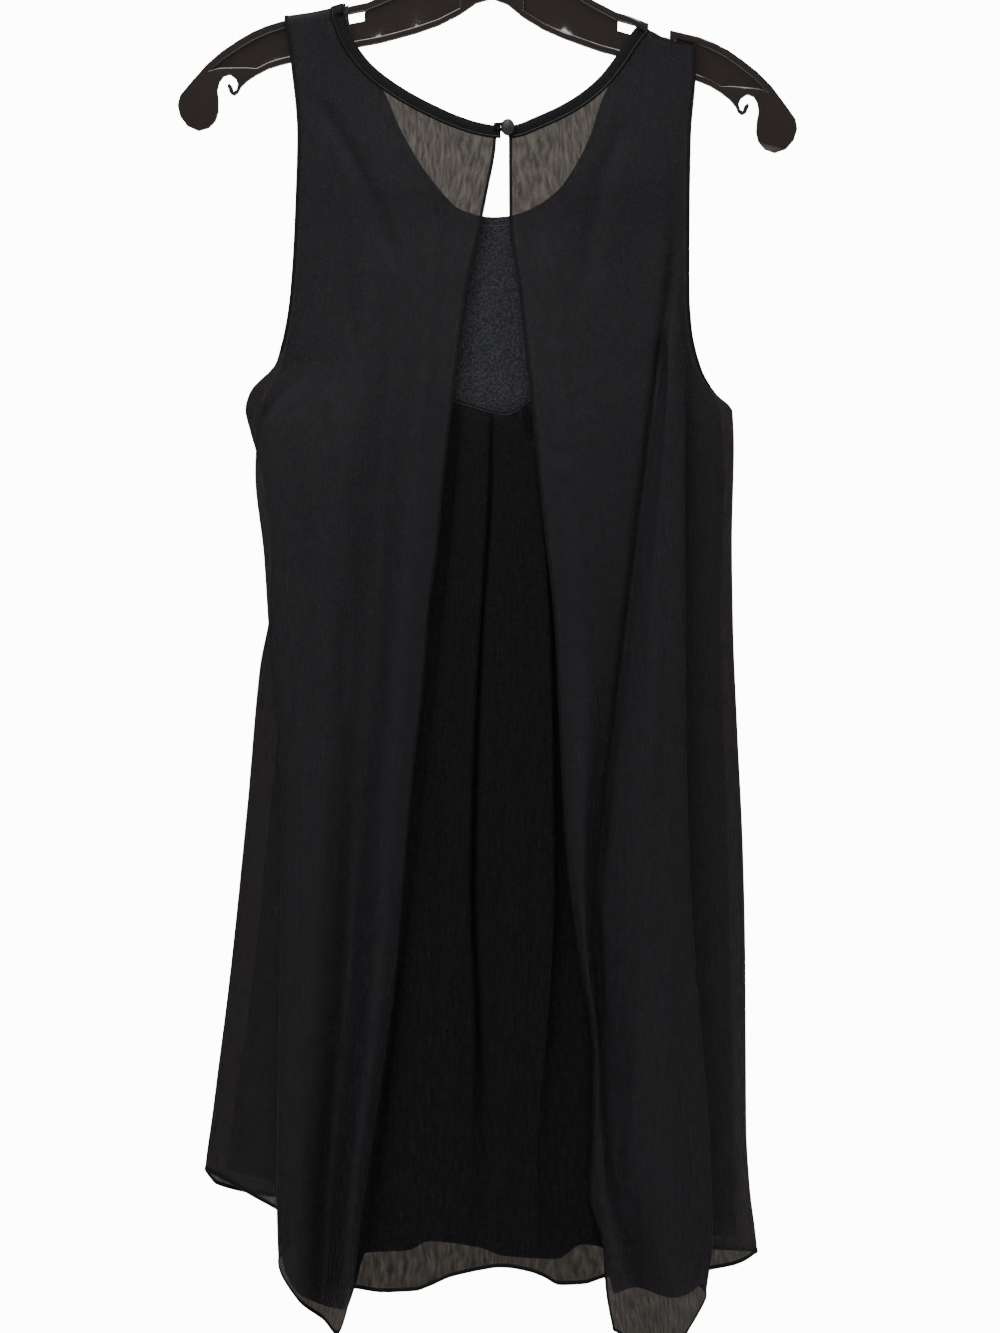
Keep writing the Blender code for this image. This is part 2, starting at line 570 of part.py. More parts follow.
def recess(sign):
    """The outline of the sunk web of one arm, a rim's width inside the arm's edges."""
    top = [(x - 2.2, h - RIM) for x, h in ARM_TOP[1:7]]
    inner_top = [(x, h - RIM - 0.6) for x, h in ARM_TOP[9:]]
    under = [(x, h + RIM) for x, h in ARM_UNDER[2:14]]
    dip = [(128.6, 34.9), (127.4, 25.2), (111.0, 26.6), (105.6, 29.0), (104.6, 41.0)]
    tip = [(187.5, 2.0), (178.0, 2.6), (168.0, 3.0)]
    loop = tip[:1] + top + dip + inner_top + [(22.0, 74.0)] + under + tip[:0:-1]
    return [(sign * x, h) for x, h in loop]


for old in list(bpy.data.objects):
    bpy.data.objects.remove(old)

chiffon = material("chiffon", (0.016, 0.016, 0.018), 0.75)
pleated = material("pleated_chiffon", (0.014, 0.014, 0.016), 0.75)
crepe = material("crepe", (0.03, 0.029, 0.031), 0.9)
bound = material("binding", (0.018, 0.017, 0.018), 0.7)
black = material("hanger", (0.012, 0.011, 0.012), 0.25)
button_cloth = material("button", (0.02, 0.019, 0.021), 0.6)

# Hanger, one moulding: two arms with curled ends, a rim round a sunk web on both faces,
# a slot and a notch in each arm, and a plain round hook.
right_half = list(ARM_UNDER) + list(ARM_CURL) + list(ARM_TOP)
outline = right_half + mirrored(right_half)[:0:-1]
hanger = prism("hanger", outline, -HANGER_THICK / 2, HANGER_THICK / 2)
for sign, label in ((1, "right"), (-1, "left")):
    for face in (-1, 1):
        sunk = prism(f"sunk_{label}_{face}", recess(sign), face * HANGER_WEB / 2, face * 9)
        cut(hanger, sunk)
    cut(hanger, prism(f"notch_{label}", [(sign * x, h) for x, h in NOTCH], -9, 9))
    l, r, b, t = WINDOW
    slot_outline = [(sign * l, b + 1.5), (sign * r, b - 1.5), (sign * r, t - 1.5),
                    (sign * l, t + 1.5)]
    cut(hanger, prism(f"window_{label}", slot_outline, -9, 9))
hook_path = [(0, 78), (0, 95), (0.5, 108), (2.5, 119), (7.5, 129), (13.6, 138.5),
             (18.2, 148)]
hook_path += [(20.2 * math.cos(a), HANGER_DROP - 17 + 20.2 * math.sin(a))
              for a in (math.radians(v) for v in range(-6, 206, 14))]
hook = cord("hook_bar", [(hung(x, h)[0], 0.0, hung(x, h)[1]) for x, h in hook_path], 3.2,
            black, sides=12)
cut(hanger, hook, "UNION")

# Back overlay: two open chiffon flaps.
left_neck, left_over = flap("back_flap_left", LEFT_X, LEFT_Y, LEFT_HEM, "left",
                            (3, 3, 3, 3, 4, 3, 3), chiffon)
right_neck, _ = flap("back_flap_right", RIGHT_X, RIGHT_Y, RIGHT_HEM, "right",
                     (3, 4, 4, 3, 3, 3, 3), chiffon)

# Pleated chiffon panel in the centre back.
pleat_panel(pleated)


def over_sides(drop):
    return along(LEFT_X, drop, 8), along(RIGHT_X, drop, 8)


def slip_sides(drop):
    return along(SECTION, drop, 4), along(SECTION, drop, 5)


SLIP_COLUMNS = (-1.0, -0.92, -0.85, -0.78, -0.70, -0.64, -0.56, -0.49, -0.45, -0.35, -0.22,
                -0.08, 0.08, 0.22, 0.34, 0.44, 0.50, 0.58, 0.64, 0.70, 0.78, 0.85, 0.92, 1.0)
FRONT_COLUMNS = (-1.0, -0.97, -0.92, -0.85, -0.78, -0.70, -0.60, -0.48, -0.36, -0.22, -0.08,
                 0.06, 0.20, 0.34, 0.46, 0.58, 0.70, 0.78, 0.85, 0.92, 0.97, 1.0)
INNER_COLUMNS = (-1.0, -0.93, -0.82, -0.70, -0.56, -0.38, -0.18, 0.02, 0.22, 0.40, 0.56,
                 0.70, 0.82, 0.93, 1.0)

# Slip, an opaque crepe layer with its own straps under the overlay's.
ring_panel("slip_back", SLIP_NECK, -1, SLIP_RISE, SLIP_FACE, 2, slip_sides, SLIP_HEM,
           SLIP_FLUTES, crepe, SLIP_COLUMNS, 13)
ring_panel("slip_front", offset_neck(FRONT_NECK, 2.0, 1), 1, SLIP_RISE, SLIP_FACE, 3,
           slip_sides, SLIP_FRONT_HEM, SLIP_FLUTES, crepe, INNER_COLUMNS, 11)

# Front overlay, one chiffon layer on the far side.
front_neck, front_over = ring_panel(
    "front_overlay", offset_neck(FRONT_NECK, BINDING_WIDE + SEAM, 1), 1, OVER_RISE,
    OVER_FACE, 1, over_sides, OVER_HEM, FRONT_FLUTES, chiffon, FRONT_COLUMNS, 17)

# Neck binding in three pieces, with the button and its loop at the nape.
binding("neck_binding_left", left_neck[::-1], left_over, bound)
binding("neck_binding_right", right_neck, [], bound)
binding("neck_binding_front", front_neck, front_over, bound)
base = -(OVER_FACE + 11.5 * ease((BUTTON_DROP - 22) / 110)) - BINDING / 2 - 0.7
disc_stack("button", ((1.8, base - 0.4), (1.8, base - 2.4), (4.2, base - 2.6),
                      (BUTTON_R, base - 3.8), (4.5, base - 5.2), (3.0, base - 6.2),
                      (1.2, base - 6.6)), (BUTTON_X, BUTTON_DROP), button_cloth)
turns = [math.radians(v) for v in range(100, -121, -20)]
loop_path = [(-3.4, base - 1.3, -SHOULDER - BUTTON_DROP + 3.2)]
loop_path += [(BUTTON_X + 3.2 * math.cos(a), base - 1.4,
               -SHOULDER - BUTTON_DROP + 3.2 * math.sin(a)) for a in turns]
loop_path += [(-3.4, base - 1.3, -SHOULDER - BUTTON_DROP - 3.2)]
cord("button_loop", loop_path, 0.8, bound)
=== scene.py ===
import math

import bmesh
import bpy
import numpy as np
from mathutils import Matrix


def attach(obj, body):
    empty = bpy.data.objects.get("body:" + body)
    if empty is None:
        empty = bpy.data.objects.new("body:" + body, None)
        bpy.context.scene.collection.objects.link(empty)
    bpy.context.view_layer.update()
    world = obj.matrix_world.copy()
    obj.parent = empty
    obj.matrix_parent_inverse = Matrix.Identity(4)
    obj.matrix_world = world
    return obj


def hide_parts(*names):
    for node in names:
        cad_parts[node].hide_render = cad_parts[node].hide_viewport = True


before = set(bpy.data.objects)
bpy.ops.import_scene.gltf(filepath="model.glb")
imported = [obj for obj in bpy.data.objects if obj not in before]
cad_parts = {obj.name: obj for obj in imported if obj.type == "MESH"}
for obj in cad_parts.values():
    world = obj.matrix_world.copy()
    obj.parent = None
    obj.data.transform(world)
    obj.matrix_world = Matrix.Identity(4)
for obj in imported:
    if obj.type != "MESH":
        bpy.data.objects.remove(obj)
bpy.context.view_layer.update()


# ---- Camera, floor and light -------------------------------------------------------
# A square-on studio view of the garment's back on its hanger, with the hook and the
# middle of the hanger above the frame, before a pale sweep lit from the front and above.
def linear(hex_colour):
    """An sRGB hex colour as the linear colour that sockets take."""
    parts = [int(hex_colour[k:k + 2], 16) / 255 for k in (1, 3, 5)]
    return [c / 12.92 if c <= 0.04045 else ((c + 0.055) / 1.055) ** 2.4 for c in parts] + [1.0]


def feed(made, inputs):
    """Gives a node's sockets their values. A socket is linked, a node by its first output."""
    for key, value in inputs.items():
        if isinstance(value, bpy.types.Node):
            value = value.outputs[0]
        if isinstance(value, bpy.types.NodeSocket):
            made.id_data.links.new(value, made.inputs[key])
        else:
            made.inputs[key].default_value = value


def node(tree, kind, inputs=None, **settings):
    """Adds one node with its settings and its inputs."""
    made = tree.nodes.new(kind)
    for key, value in settings.items():
        setattr(made, key, value)
    feed(made, inputs or {})
    return made


def ramp(tree, factor, *stops):
    """A colour ramp between two stops, each a position and a hex colour."""
    made = node(tree, "ShaderNodeValToRGB", {"Fac": factor})
    for stop, (position, colour) in zip(made.color_ramp.elements, stops):
        stop.position, stop.color = position, linear(colour)
    return made


def material(name):
    """A new material with its node tree and its shader."""
    made = bpy.data.materials.new(name)
    made.use_nodes = True
    return made, made.node_tree, made.node_tree.nodes["Principled BSDF"]


def show(name, mesh, *materials):
    """Links a mesh into the scene as an object at the origin."""
    made = bpy.data.objects.new(name, mesh)
    bpy.context.scene.collection.objects.link(made)
    for slot in materials:
        mesh.materials.append(slot)
    return made


VIEW_X, VIEW_Z = 0.0010, -0.5812      # what the lens points at
VIEW_TALL = 0.9224                    # height of the view at the cloth
CLOTH_Y = -0.020
LENS_AWAY = 6.5
SENSOR = 36.0

camera_data = bpy.data.cameras.new("camera")
camera_data.lens = SENSOR * LENS_AWAY / VIEW_TALL
camera_data.sensor_width = SENSOR
camera_data.clip_end = 30.0
camera = bpy.data.objects.new("camera", camera_data)
camera.location = (VIEW_X, CLOTH_Y - LENS_AWAY, VIEW_Z)
camera.rotation_euler = (math.pi / 2, 0.0, 0.0)
bpy.context.scene.collection.objects.link(camera)
bpy.context.scene.camera = camera

FLOOR_Z = -1.42
FLOOR_RADIUS = 4.6
bm = bmesh.new()
bmesh.ops.create_circle(bm, cap_ends=True, segments=96, radius=FLOOR_RADIUS)
bmesh.ops.translate(bm, verts=bm.verts, vec=(0.0, 0.0, FLOOR_Z))
floor_mesh = bpy.data.meshes.new("studio_floor")
bm.to_mesh(floor_mesh)
bm.free()
# The floor's own faint glow stands for the light that the cove throws back.
paper, _, shader = material("matt white paper")
feed(shader, {"Base Color": linear("#f4f3f2"), "Roughness": 0.95,
              "Specular IOR Level": 0.1, "Emission Color": linear("#f4f3f2"),
              "Emission Strength": 0.16})
show("studio_floor", floor_mesh, paper)

# The room is a white cove. It is blown out beside the dress, and through the cloth it
# reads as the plain wall that it is, dimmer toward the floor and under a second layer.
BLOWN_OUT = 13.0          # strength beside the dress
LAYER_LEAVES = 0.60       # share of the wall's light that one more layer leaves
ROOM_LIGHT = 0.10         # strength that lights the dress
world = bpy.data.worlds.new("studio")
world.use_nodes = True
tree = world.node_tree
path = node(tree, "ShaderNodeLightPath").outputs
height = node(tree, "ShaderNodeSeparateXYZ",
              {"Vector": node(tree, "ShaderNodeTexCoord").outputs["Generated"]}).outputs["Z"]
wall = node(tree, "ShaderNodeMapRange", {"Value": height, "From Min": -0.062,
                                         "From Max": 0.045, "To Min": 0.34, "To Max": 0.62})
layers = node(tree, "ShaderNodeMath", {0: LAYER_LEAVES, 1: path["Transparent Depth"]},
              operation="POWER")
dimmed = node(tree, "ShaderNodeMath", {0: wall, 1: layers}, operation="MULTIPLY")
beside = node(tree, "ShaderNodeMath", {0: path["Transparent Depth"], 1: 0.5},
              operation="LESS_THAN")
camera_sees = node(tree, "ShaderNodeMix", {"Factor": beside, "A": dimmed, "B": BLOWN_OUT})
room = node(tree, "ShaderNodeMix", {"Factor": path["Is Camera Ray"], "A": ROOM_LIGHT,
                                    "B": camera_sees})
feed(tree.nodes["Background"], {"Color": linear("#fdfdfb"), "Strength": room})
bpy.context.scene.world = world

# name, place, target, width, height, watts
LAMPS = (("key", (-0.40, -1.15, 0.70), (0.0, 0.0, -0.25), 1.5, 0.9, 25.0),
         ("top", (0.2, -0.35, 1.5), (0.0, 0.0, -0.2), 2.2, 0.9, 34.0),
         ("side", (2.1, -1.0, 0.3), (0.0, 0.0, -0.5), 0.7, 1.5, 14.0),
         ("fill", (-2.2, -2.2, 0.2), (0.0, 0.0, -0.6), 1.2, 1.2, 13.0),
         ("behind", (0.3, 2.8, 1.0), (0.0, 0.0, -0.6), 2.6, 1.6, 130.0))
for name, place, target, wide, tall, watts in LAMPS:
    lamp = bpy.data.lights.new(name, "AREA")
    lamp.shape = "RECTANGLE"
    lamp.size, lamp.size_y, lamp.energy = wide, tall, watts
    holder = bpy.data.objects.new(name, lamp)
    run = [b - a for a, b in zip(place, target)]
    holder.location = place
    holder.rotation_euler = (math.atan2(math.hypot(run[0], run[1]), -run[2]), 0.0,
                             math.atan2(run[1], run[0]) - math.pi / 2)
    bpy.context.scene.collection.objects.link(holder)


# ---- Hanger ------------------------------------------------------------------------
# One gloss black polystyrene moulding: arms with curled ends, a raised rim round a sunk
# web on both faces, and a round hook. Its edges are softened as a mould leaves them.
styrene, tree, shader = material("gloss black polystyrene")
place = node(tree, "ShaderNodeTexCoord").outputs["Object"]
# A mould's polish leaves long, very shallow waves about 12 mm apart.
waves = node(tree, "ShaderNodeTexNoise", {"Vector": place, "Scale": 80.0, "Detail": 1.0})
scuffs = node(tree, "ShaderNodeTexNoise", {"Vector": place, "Scale": 900.0, "Detail": 3.0})
rough = node(tree, "ShaderNodeMapRange", {"Value": scuffs, "From Min": 0.35,
                                          "From Max": 0.8, "To Min": 0.05, "To Max": 0.14})
bump = node(tree, "ShaderNodeBump", {"Height": waves, "Strength": 0.25, "Distance": 0.0006})
feed(shader, {"Base Color": linear("#241e1b"), "Specular IOR Level": 1.0,
              "Coat Weight": 0.7, "Roughness": rough, "Normal": bump})
# The solid's triangles are joined into flat faces, so that the radius runs clean.
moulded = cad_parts["hanger"].data.copy()
moulded.name = "hanger_moulding"
bm = bmesh.new()
bm.from_mesh(moulded)
bmesh.ops.remove_doubles(bm, verts=bm.verts, dist=1e-5)
bmesh.ops.dissolve_limit(bm, angle_limit=math.radians(0.5), verts=bm.verts, edges=bm.edges)
bmesh.ops.triangulate(bm, faces=bm.faces)
bmesh.ops.join_triangles(bm, faces=bm.faces, angle_face_threshold=0.01,
                         angle_shape_threshold=0.7)
bm.to_mesh(moulded)
bm.free()
moulded.materials.clear()
hanger = show("hanger_moulding", moulded, styrene)
soften = hanger.modifiers.new("mould_radius", "BEVEL")
soften.width = 0.0026
soften.segments = 4
soften.limit_method = "ANGLE"
soften.angle_limit = math.radians(32)
soften.harden_normals = True
moulded.polygons.foreach_set("use_smooth", [True] * len(moulded.polygons))
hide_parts("hanger")
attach(hanger, "root")


# ---- Back flaps --------------------------------------------------------------------
# Two open flaps of sheer black crinkle chiffon, the dress's outer layer. Each hangs from
# its strap and the neck binding to a pointed rolled hem, and turns back in one deep fold
# at its outer border before it meets the front at the side seam.
SHOULDER = 130.0                      # hang point down to the shoulder line, mm
OVER_RISE, OVER_FACE = 2.9, 8.6       # the overlay above and before the hanger's arm
SLIP_RISE, SLIP_FACE = 1.1, 6.4       # the slip, under it
SEAM = 0.3                            # gap between two panels that meet, mm
BINDING_WIDE = 7.8
TILT = math.radians(2.2)              # the hanger leans by this much
HANGER_DROP = 175.4                   # hang point down to the hanger's own zero
YOKE_BOW = 11.5                       # how far the back bows out below the neck
YOKE_FROM, YOKE_OVER = 22, 110        # the drop where that begins, and its length

# The hanger's upper edge: (x, height) above the hanger's own zero.
ARM_TOP = ((206.4, -8.4), (196.1, 4.2), (186.1, 13.6), (174.9, 21.8), (165.3, 27.9),
           (155.7, 32.5), (144.5, 36.4), (124.2, 40.3), (109.2, 44.3), (96.9, 48.7),
           (86.5, 51.3), (70, 59), (52, 69), (34, 78.5), (17, 84))
# The overlay's top edge where it hangs before the right arm: (x, drop).
RIGHT_TOP = ((95.6, 7), (103.5, 9.5), (108.2, 11.7), (113, 14.4), (117.4, 15.5),
             (120, 17.7), (127.6, 18.7), (137.2, 19.8))
# The right strap spans RIGHT_STRAP in x, and is gathered into the hanger's notch.
RIGHT_STRAP = (94.7, 137.2)
NOTCH = (105.6, 117.4)
NOTCH_DROP = (14.2, 17.4)

# Back neck edge: (x, drop), left to right.
BACK_NECK = ((-107, 0.6), (-103.9, 10), (-97.2, 22.2), (-86.6, 35), (-71.7, 46.7),
             (-56.6, 56), (-41.6, 63.6), (-29.1, 69.2), (-13.2, 74.4), (-1.4, 76.4),
             (6.4, 76.6), (11.2, 76.1), (23.8, 71.3), (45.1, 61.3), (60.1, 51.4),
             (70.7, 41.6), (81, 28.4), (89.1, 16), (94.7, 8.4))

# Left flap. Columns: drop, then x at edge, inner ridge, trough, outer ridge, border
# fold, tuck behind it, side, side seam.
LEFT_X = (
    (-15, -1, -34, -66, -96, -116, -127, -139, -150.8),
    (30, -1, -34, -65, -94, -114.8, -124, -134.5, -144.5),
    (83, -1.3, -31, -60, -88, -108, -119, -129.5, -139.7),
    (128, -8.5, -34, -61, -88, -108.5, -119.5, -130.5, -140.9),
    (190, -21.5, -44, -68, -92, -113, -124, -134.5, -144.4),
    (240, -28, -50, -73, -98, -122, -134, -144, -154.1),
    (261, -30.5, -52, -76, -102, -143, -152, -162, -172.7),
    (273, -32, -53, -77, -104, -155, -160, -167, -175.9),
    (288, -34, -55, -79, -107, -164, -158, -165, -172.5),
    (319, -37.4, -58, -82, -112, -166.9, -154, -158, -164),
    (373, -42.5, -62, -86, -116, -161.4, -148, -152, -157.5),
    (409, -47.5, -66, -90, -118, -159.2, -146, -151, -158.5),
    (453, -50.9, -70, -93, -119, -156.5, -143, -153, -166),
    (544, -60.6, -77, -99, -122, -149.6, -136, -156, -174.2),
    (665, -71, -84, -104, -128, -150.8, -136, -163, -186.6),
    (755, -83, -94, -112, -134, -152.2, -138, -170, -197.9),
    (813, -91.8, -101, -117, -137, -152.7, -139, -174, -204.6),
    (915, -104, -110, -122, -139, -149, -139, -176, -205.5),
)
# The same columns, depth y. It holds below the yoke, where the flap hangs free.
LEFT_Y = (
    (128, -18.5, -18.5, -17.5, -15.5, -13.5, -12, -10.8, -9.8),
    (190, -25, -25.5, -22.5, -20.5, -16.5, -14, -12, -9.8),
    (240, -31, -31.5, -27, -26.5, -20.5, -16.5, -13, -7.5),
    (273, -34, -35.5, -30, -31, -22, -16, -9.5, -0.05),
    (319, -38, -40, -32.5, -37, -26.5, -15, -7, -0.05),
    (409, -42, -46.5, -35.5, -43, -34, -19, -9, -0.05),
    (544, -47, -54, -40, -52, -45, -26, -14.5, -0.05),
    (665, -51, -60, -43, -58, -54, -33, -19.5, -0.05),
    (813, -56, -68, -47, -66, -62, -40, -24.5, -0.05),
    (915, -58, -72, -49, -70, -66, -44, -27, -0.05),
)
LEFT_HEM = (877, 909, 901, 886, 862, 838, 815.5, 800.5)

# Right flap. Columns: drop, then edge, inner ridge, deep crease, outer ridge, border
# fold, tuck, side, side seam.
RIGHT_X = (
    (-15, 8, 34, 60, 84, 103.2, 114.5, 126, 137.2),
    (40, 8, 34, 61, 85, 104.5, 115.5, 126, 136.8),
    (84, 7, 36, 66, 92, 110, 119, 126, 133.5),
    (140, 7.2, 40, 78, 103, 116, 122.5, 127.5, 132.6),
    (190, 14, 48, 95, 111, 121, 125, 128.8, 132.4),
    (218, 16.7, 52, 104, 116, 125, 127.5, 130.5, 134.2),
    (244, 19.8, 54, 107.5, 118.5, 127.5, 129.5, 134, 140.5),
    (262, 21.8, 55, 106.5, 118, 129.3, 129.5, 139, 151),
    (273, 22.8, 55.5, 105.5, 117.5, 129.6, 127, 144, 162.4),
    (298, 25.3, 56, 103, 116, 129.4, 122, 147, 163.6),
    (364, 32.1, 57, 95.5, 112, 129, 117, 146, 162.2),
    (424, 38.7, 59, 87.5, 108, 129, 116, 146.5, 163),
    (497, 41.9, 60, 78.8, 105, 129.3, 116, 148.5, 166),
    (578, 46.3, 58, 71.2, 102, 131, 117, 151.5, 169.8),
    (651, 54.9, 61, 69.6, 101, 134.8, 120, 154, 171.4),
    (719, 64.6, 69, 76, 102, 140.6, 125, 157, 171.8),
    (772, 64.6, 70, 78, 105, 144.5, 129, 159, 172.2),
    (813, 62.5, 73, 84, 109, 146.3, 131, 162, 174.6),
    (847, 71.4, 82, 94, 116, 147, 132, 164, 178.8),
    (880, 73.6, 90, 104, 122, 143, 133, 166, 181.5),
    (925, 82.6, 99, 110, 125, 139, 133, 167, 182.5),
)
RIGHT_Y = (
    (128, -18.5, -17.5, -14.5, -12.5, -11.5, -11, -10.4, -9.8),
    (190, -25, -24.5, -16.5, -17.5, -15.5, -14, -12, -9.8),
    (244, -31, -31.5, -20.5, -26, -20.5, -16.5, -12, -7.5),
    (273, -34, -36, -25, -31, -24, -16, -11, -0.05),
    (319, -38, -41, -29, -37, -30, -17, -11.5, -0.05),
    (409, -42, -47, -34, -45, -38, -22, -13.5, -0.05),
    (544, -47, -54.5, -40, -53, -47, -28, -18, -0.05),
    (665, -51, -57, -44.5, -60, -54, -34, -21.5, -0.05),
    (813, -56, -64, -54, -68, -62, -41, -25, -0.05),
    (925, -58, -68, -60, -72, -66, -44, -27, -0.05),
)
RIGHT_HEM = (908, 919, 924.5, 917, 886, 872, 864.5, 858)

# Soft creases pressed into the flaps: x and drop at the top, x and drop at the bottom,
# half width, depth (a trough is positive), bow to the right at the middle.
LEFT_CREASES = (
    (-125, 60, -74, 168, 6, 2.6, 6),
    (-112, 96, -96, 250, 5, 1.4, -3),
    (-46, 100, -58, 300, 7, -1.8, 4),
    (-70, 180, -84, 480, 8, 1.6, -3),
    (-146, 292, -128, 520, 5, 1.8, 3),
    (-116, 262, -101, 412, 5.5, -2, 3),
    (-106, 412, -108, 482, 4.5, 1.8, 0),
    (-96, 520, -116, 860, 9, 1.2, -2),
)
RIGHT_CREASES = (
    (84, 80, 62, 186, 7, 2, -5),
    (122, 120, 112, 240, 4.5, 1.6, 2),
    (120.5, 170, 66.7, 613, 3, 4.6, -1.2),
    (66.8, 615, 69.2, 792, 2.4, 3.4, 2.2),
    (34, 150, 52, 420, 7, -1.6, 3),
    (118, 300, 112, 640, 6, 1.8, -2),
    (112, 430, 88, 820, 2.8, -1.7, 0),
    (124, 600, 128, 900, 4, 1.6, 2),
)


def read(table, at):
    """Every column of a table at many positions, by a curve that never overshoots."""
    table = np.asarray(table, float)
    xs, ys = table[:, 0], table[:, 1:]
    shape = np.shape(at)
    at = np.clip(np.ravel(at), xs[0], xs[-1])
    k = np.clip(np.searchsorted(xs, at, side="right") - 1, 0, len(xs) - 2)
    wide = np.diff(xs)
    slopes = np.diff(ys, axis=0) / wide[:, None]
    tangents = np.zeros_like(ys)
    before, after = slopes[:-1], slopes[1:]
    same = before * after > 0
    tangents[1:-1] = np.where(same, 2 * before * after / np.where(same, before + after, 1), 0)
    tangents[0], tangents[-1] = slopes[0], slopes[-1]
    t, w = ((at - xs[k]) / wide[k])[:, None], wide[k][:, None]
    out = ((2 * t**3 - 3 * t**2 + 1) * ys[k] + (t**3 - 2 * t**2 + t) * w * tangents[k]
           + (3 * t**2 - 2 * t**3) * ys[k + 1] + (t**3 - t**2) * w * tangents[k + 1])
    return out.reshape(*shape, ys.shape[1])


def across(knots, s):
    """A smooth curve through the last axis of knots, with s counting the knots."""
    s = np.broadcast_to(s, knots.shape[:-1])
    count = knots.shape[-1]
    k = np.clip(np.floor(s).astype(int), 0, count - 2)
    t = s - k

    def pick(index):
        return np.take_along_axis(knots, np.clip(index, 0, count - 1)[..., None], -1)[..., 0]

    a, b = pick(k), pick(k + 1)
    before = np.where(k > 0, pick(k - 1), 2 * a - b)
    after = np.where(k + 2 < count, pick(k + 2), 2 * b - a)
    return 0.5 * (2 * a + (b - before) * t + (2 * before - 5 * a + 4 * b - after) * t**2
                  + (3 * a - before - 3 * b + after) * t**3)


def ease(value):
    value = np.clip(value, 0.0, 1.0)
    return value * value * (3 - 2 * value)


def yoke_y(x, drop):
    """Depth of the back yoke, flat on the hanger's arm and bowed out below the neck."""
    bowed = YOKE_BOW * ease((drop - YOKE_FROM) / YOKE_OVER)
    return -(OVER_FACE + bowed * (1 - (x / 150) ** 2))


def offset_neck(neck, wide):
    """A neck edge moved down into the cloth by a width."""
    edge = np.asarray(neck, float)
    slope = np.gradient(edge, axis=0)
    slope /= np.linalg.norm(slope, axis=1, keepdims=True)
    return edge + wide * np.stack([-slope[:, 1], slope[:, 0]], axis=1)


def find_top(x_at, neck):
    """The drop where each column crosses a neck edge. x_at gives the columns' x."""
    low = np.full_like(x_at(0.0), -12.0)              # above every neck edge
    high = np.full_like(low, 170.0)                   # and below it
    for _ in range(40):
        middle = (low + high) / 2
        above = middle < read(neck, x_at(middle))[..., 0]
        low, high = np.where(above, middle, low), np.where(above, high, middle)
    return high


def arm_drop(x):
    """Drop of the left arm's upper edge at a place across the dress."""
    cos, sin = math.cos(TILT), math.sin(TILT)
    edge = [(-px * cos + (h - HANGER_DROP) * sin,
             -(px * sin + (h - HANGER_DROP) * cos) - SHOULDER) for px, h in ARM_TOP]
    return read(sorted(edge), x)[..., 0]


def strap_rows(x, side, rise, face, facing):
    """Four rows of points that carry a strap's columns over the hanger's ridge."""
    ridge, bend, flat = (np.zeros_like(x) + facing * depth
                         for depth in (SEAM / 2 + 0.1, face - (0.6 * rise + 0.25), face))
    if side == "left":
        top = arm_drop(x) - rise
        return np.array([(x, ridge, top), (x, bend, top + 0.2),
                         (x, flat, top + rise + 1.2), (x, flat, top + 8.0)])
    share = (x - RIGHT_STRAP[0]) / (RIGHT_STRAP[1] - RIGHT_STRAP[0])
    tight = NOTCH[0] + share * (NOTCH[1] - NOTCH[0])
    lift = OVER_RISE - rise           # how far this strap lies under the overlay's
    floor = NOTCH_DROP[0] + share * (NOTCH_DROP[1] - NOTCH_DROP[0]) + lift
    top = np.maximum(read(RIGHT_TOP, x)[..., 0] + lift * 1.7, (floor + 1.6) * (lift > 0))
    return np.array([(tight, ridge, floor), (tight, bend, floor),
                     (tight * 0.9 + x * 0.1, flat, floor + 0.4), (x, flat, top)])


def creased(x, y, drop, creases, facing):
    """Presses soft troughs and ridges into a panel's depth."""
    for x0, drop0, x1, drop1, half, deep, bow in creases:
        share = (drop - drop0) / (drop1 - drop0)
        line = x0 + (x1 - x0) * share + bow * 4 * share * (1 - share)
        fade = ease(share / 0.22 + 0.5) * ease((1 - share) / 0.28 + 0.5)
        fade = fade * ((share > -0.2) & (share < 1.2))
        y = y - facing * deep * fade * np.exp(-((x - line) / half) ** 2)
    return y


OVER_STEPS = 8        # rows that carry a strap over the ridge


def hang(x_at, y_at, top, hem, strap, sides, rise, face, facing, rows, creases=()):
    """Points (rows, columns, 3) in mm of one hung panel, and which cells it has.

    strap marks the columns that cross the hanger; the others start at the neck edge.
    """
    columns = len(top)
    points = np.zeros((OVER_STEPS + rows, columns, 3))
    for side, mine in sides:
        x = x_at(np.zeros(columns))[mine]
        carried = strap_rows(x, side, rise, face, facing)
        top[mine] = carried[3, 2]
        for i, t in enumerate(np.linspace(0, 3, OVER_STEPS + 1)[:-1]):
            points[i, mine] = across(np.moveaxis(carried, 0, -1), t).T
    share = np.linspace(0, 1, rows)[:, None] ** 1.12  # rows lie closer near the top
    drop = top[None, :] + (hem - top)[None, :] * share
    x = x_at(drop)
    smooth = y_at(x, drop)
    y = creased(x, smooth, drop, creases, facing)
    settle = ease((drop - top[None, :]) / 30.0)       # creases begin below the strap's top
    y = np.where(strap[None, :], smooth * (1 - settle) + y * settle, y)
    points[OVER_STEPS:] = np.stack([x, y, drop], -1)
    cells = np.ones((OVER_STEPS + rows - 1, columns - 1), bool)
    cells[:OVER_STEPS] = (strap[1:] & strap[:-1])[None, :]
    return points, cells


def metres(points):
    """Points of (x, y, drop) in mm as places in the scene."""
    points = np.asarray(points, float)
    return np.stack([points[..., 0], points[..., 1], -SHOULDER - points[..., 2]], -1) / 1000


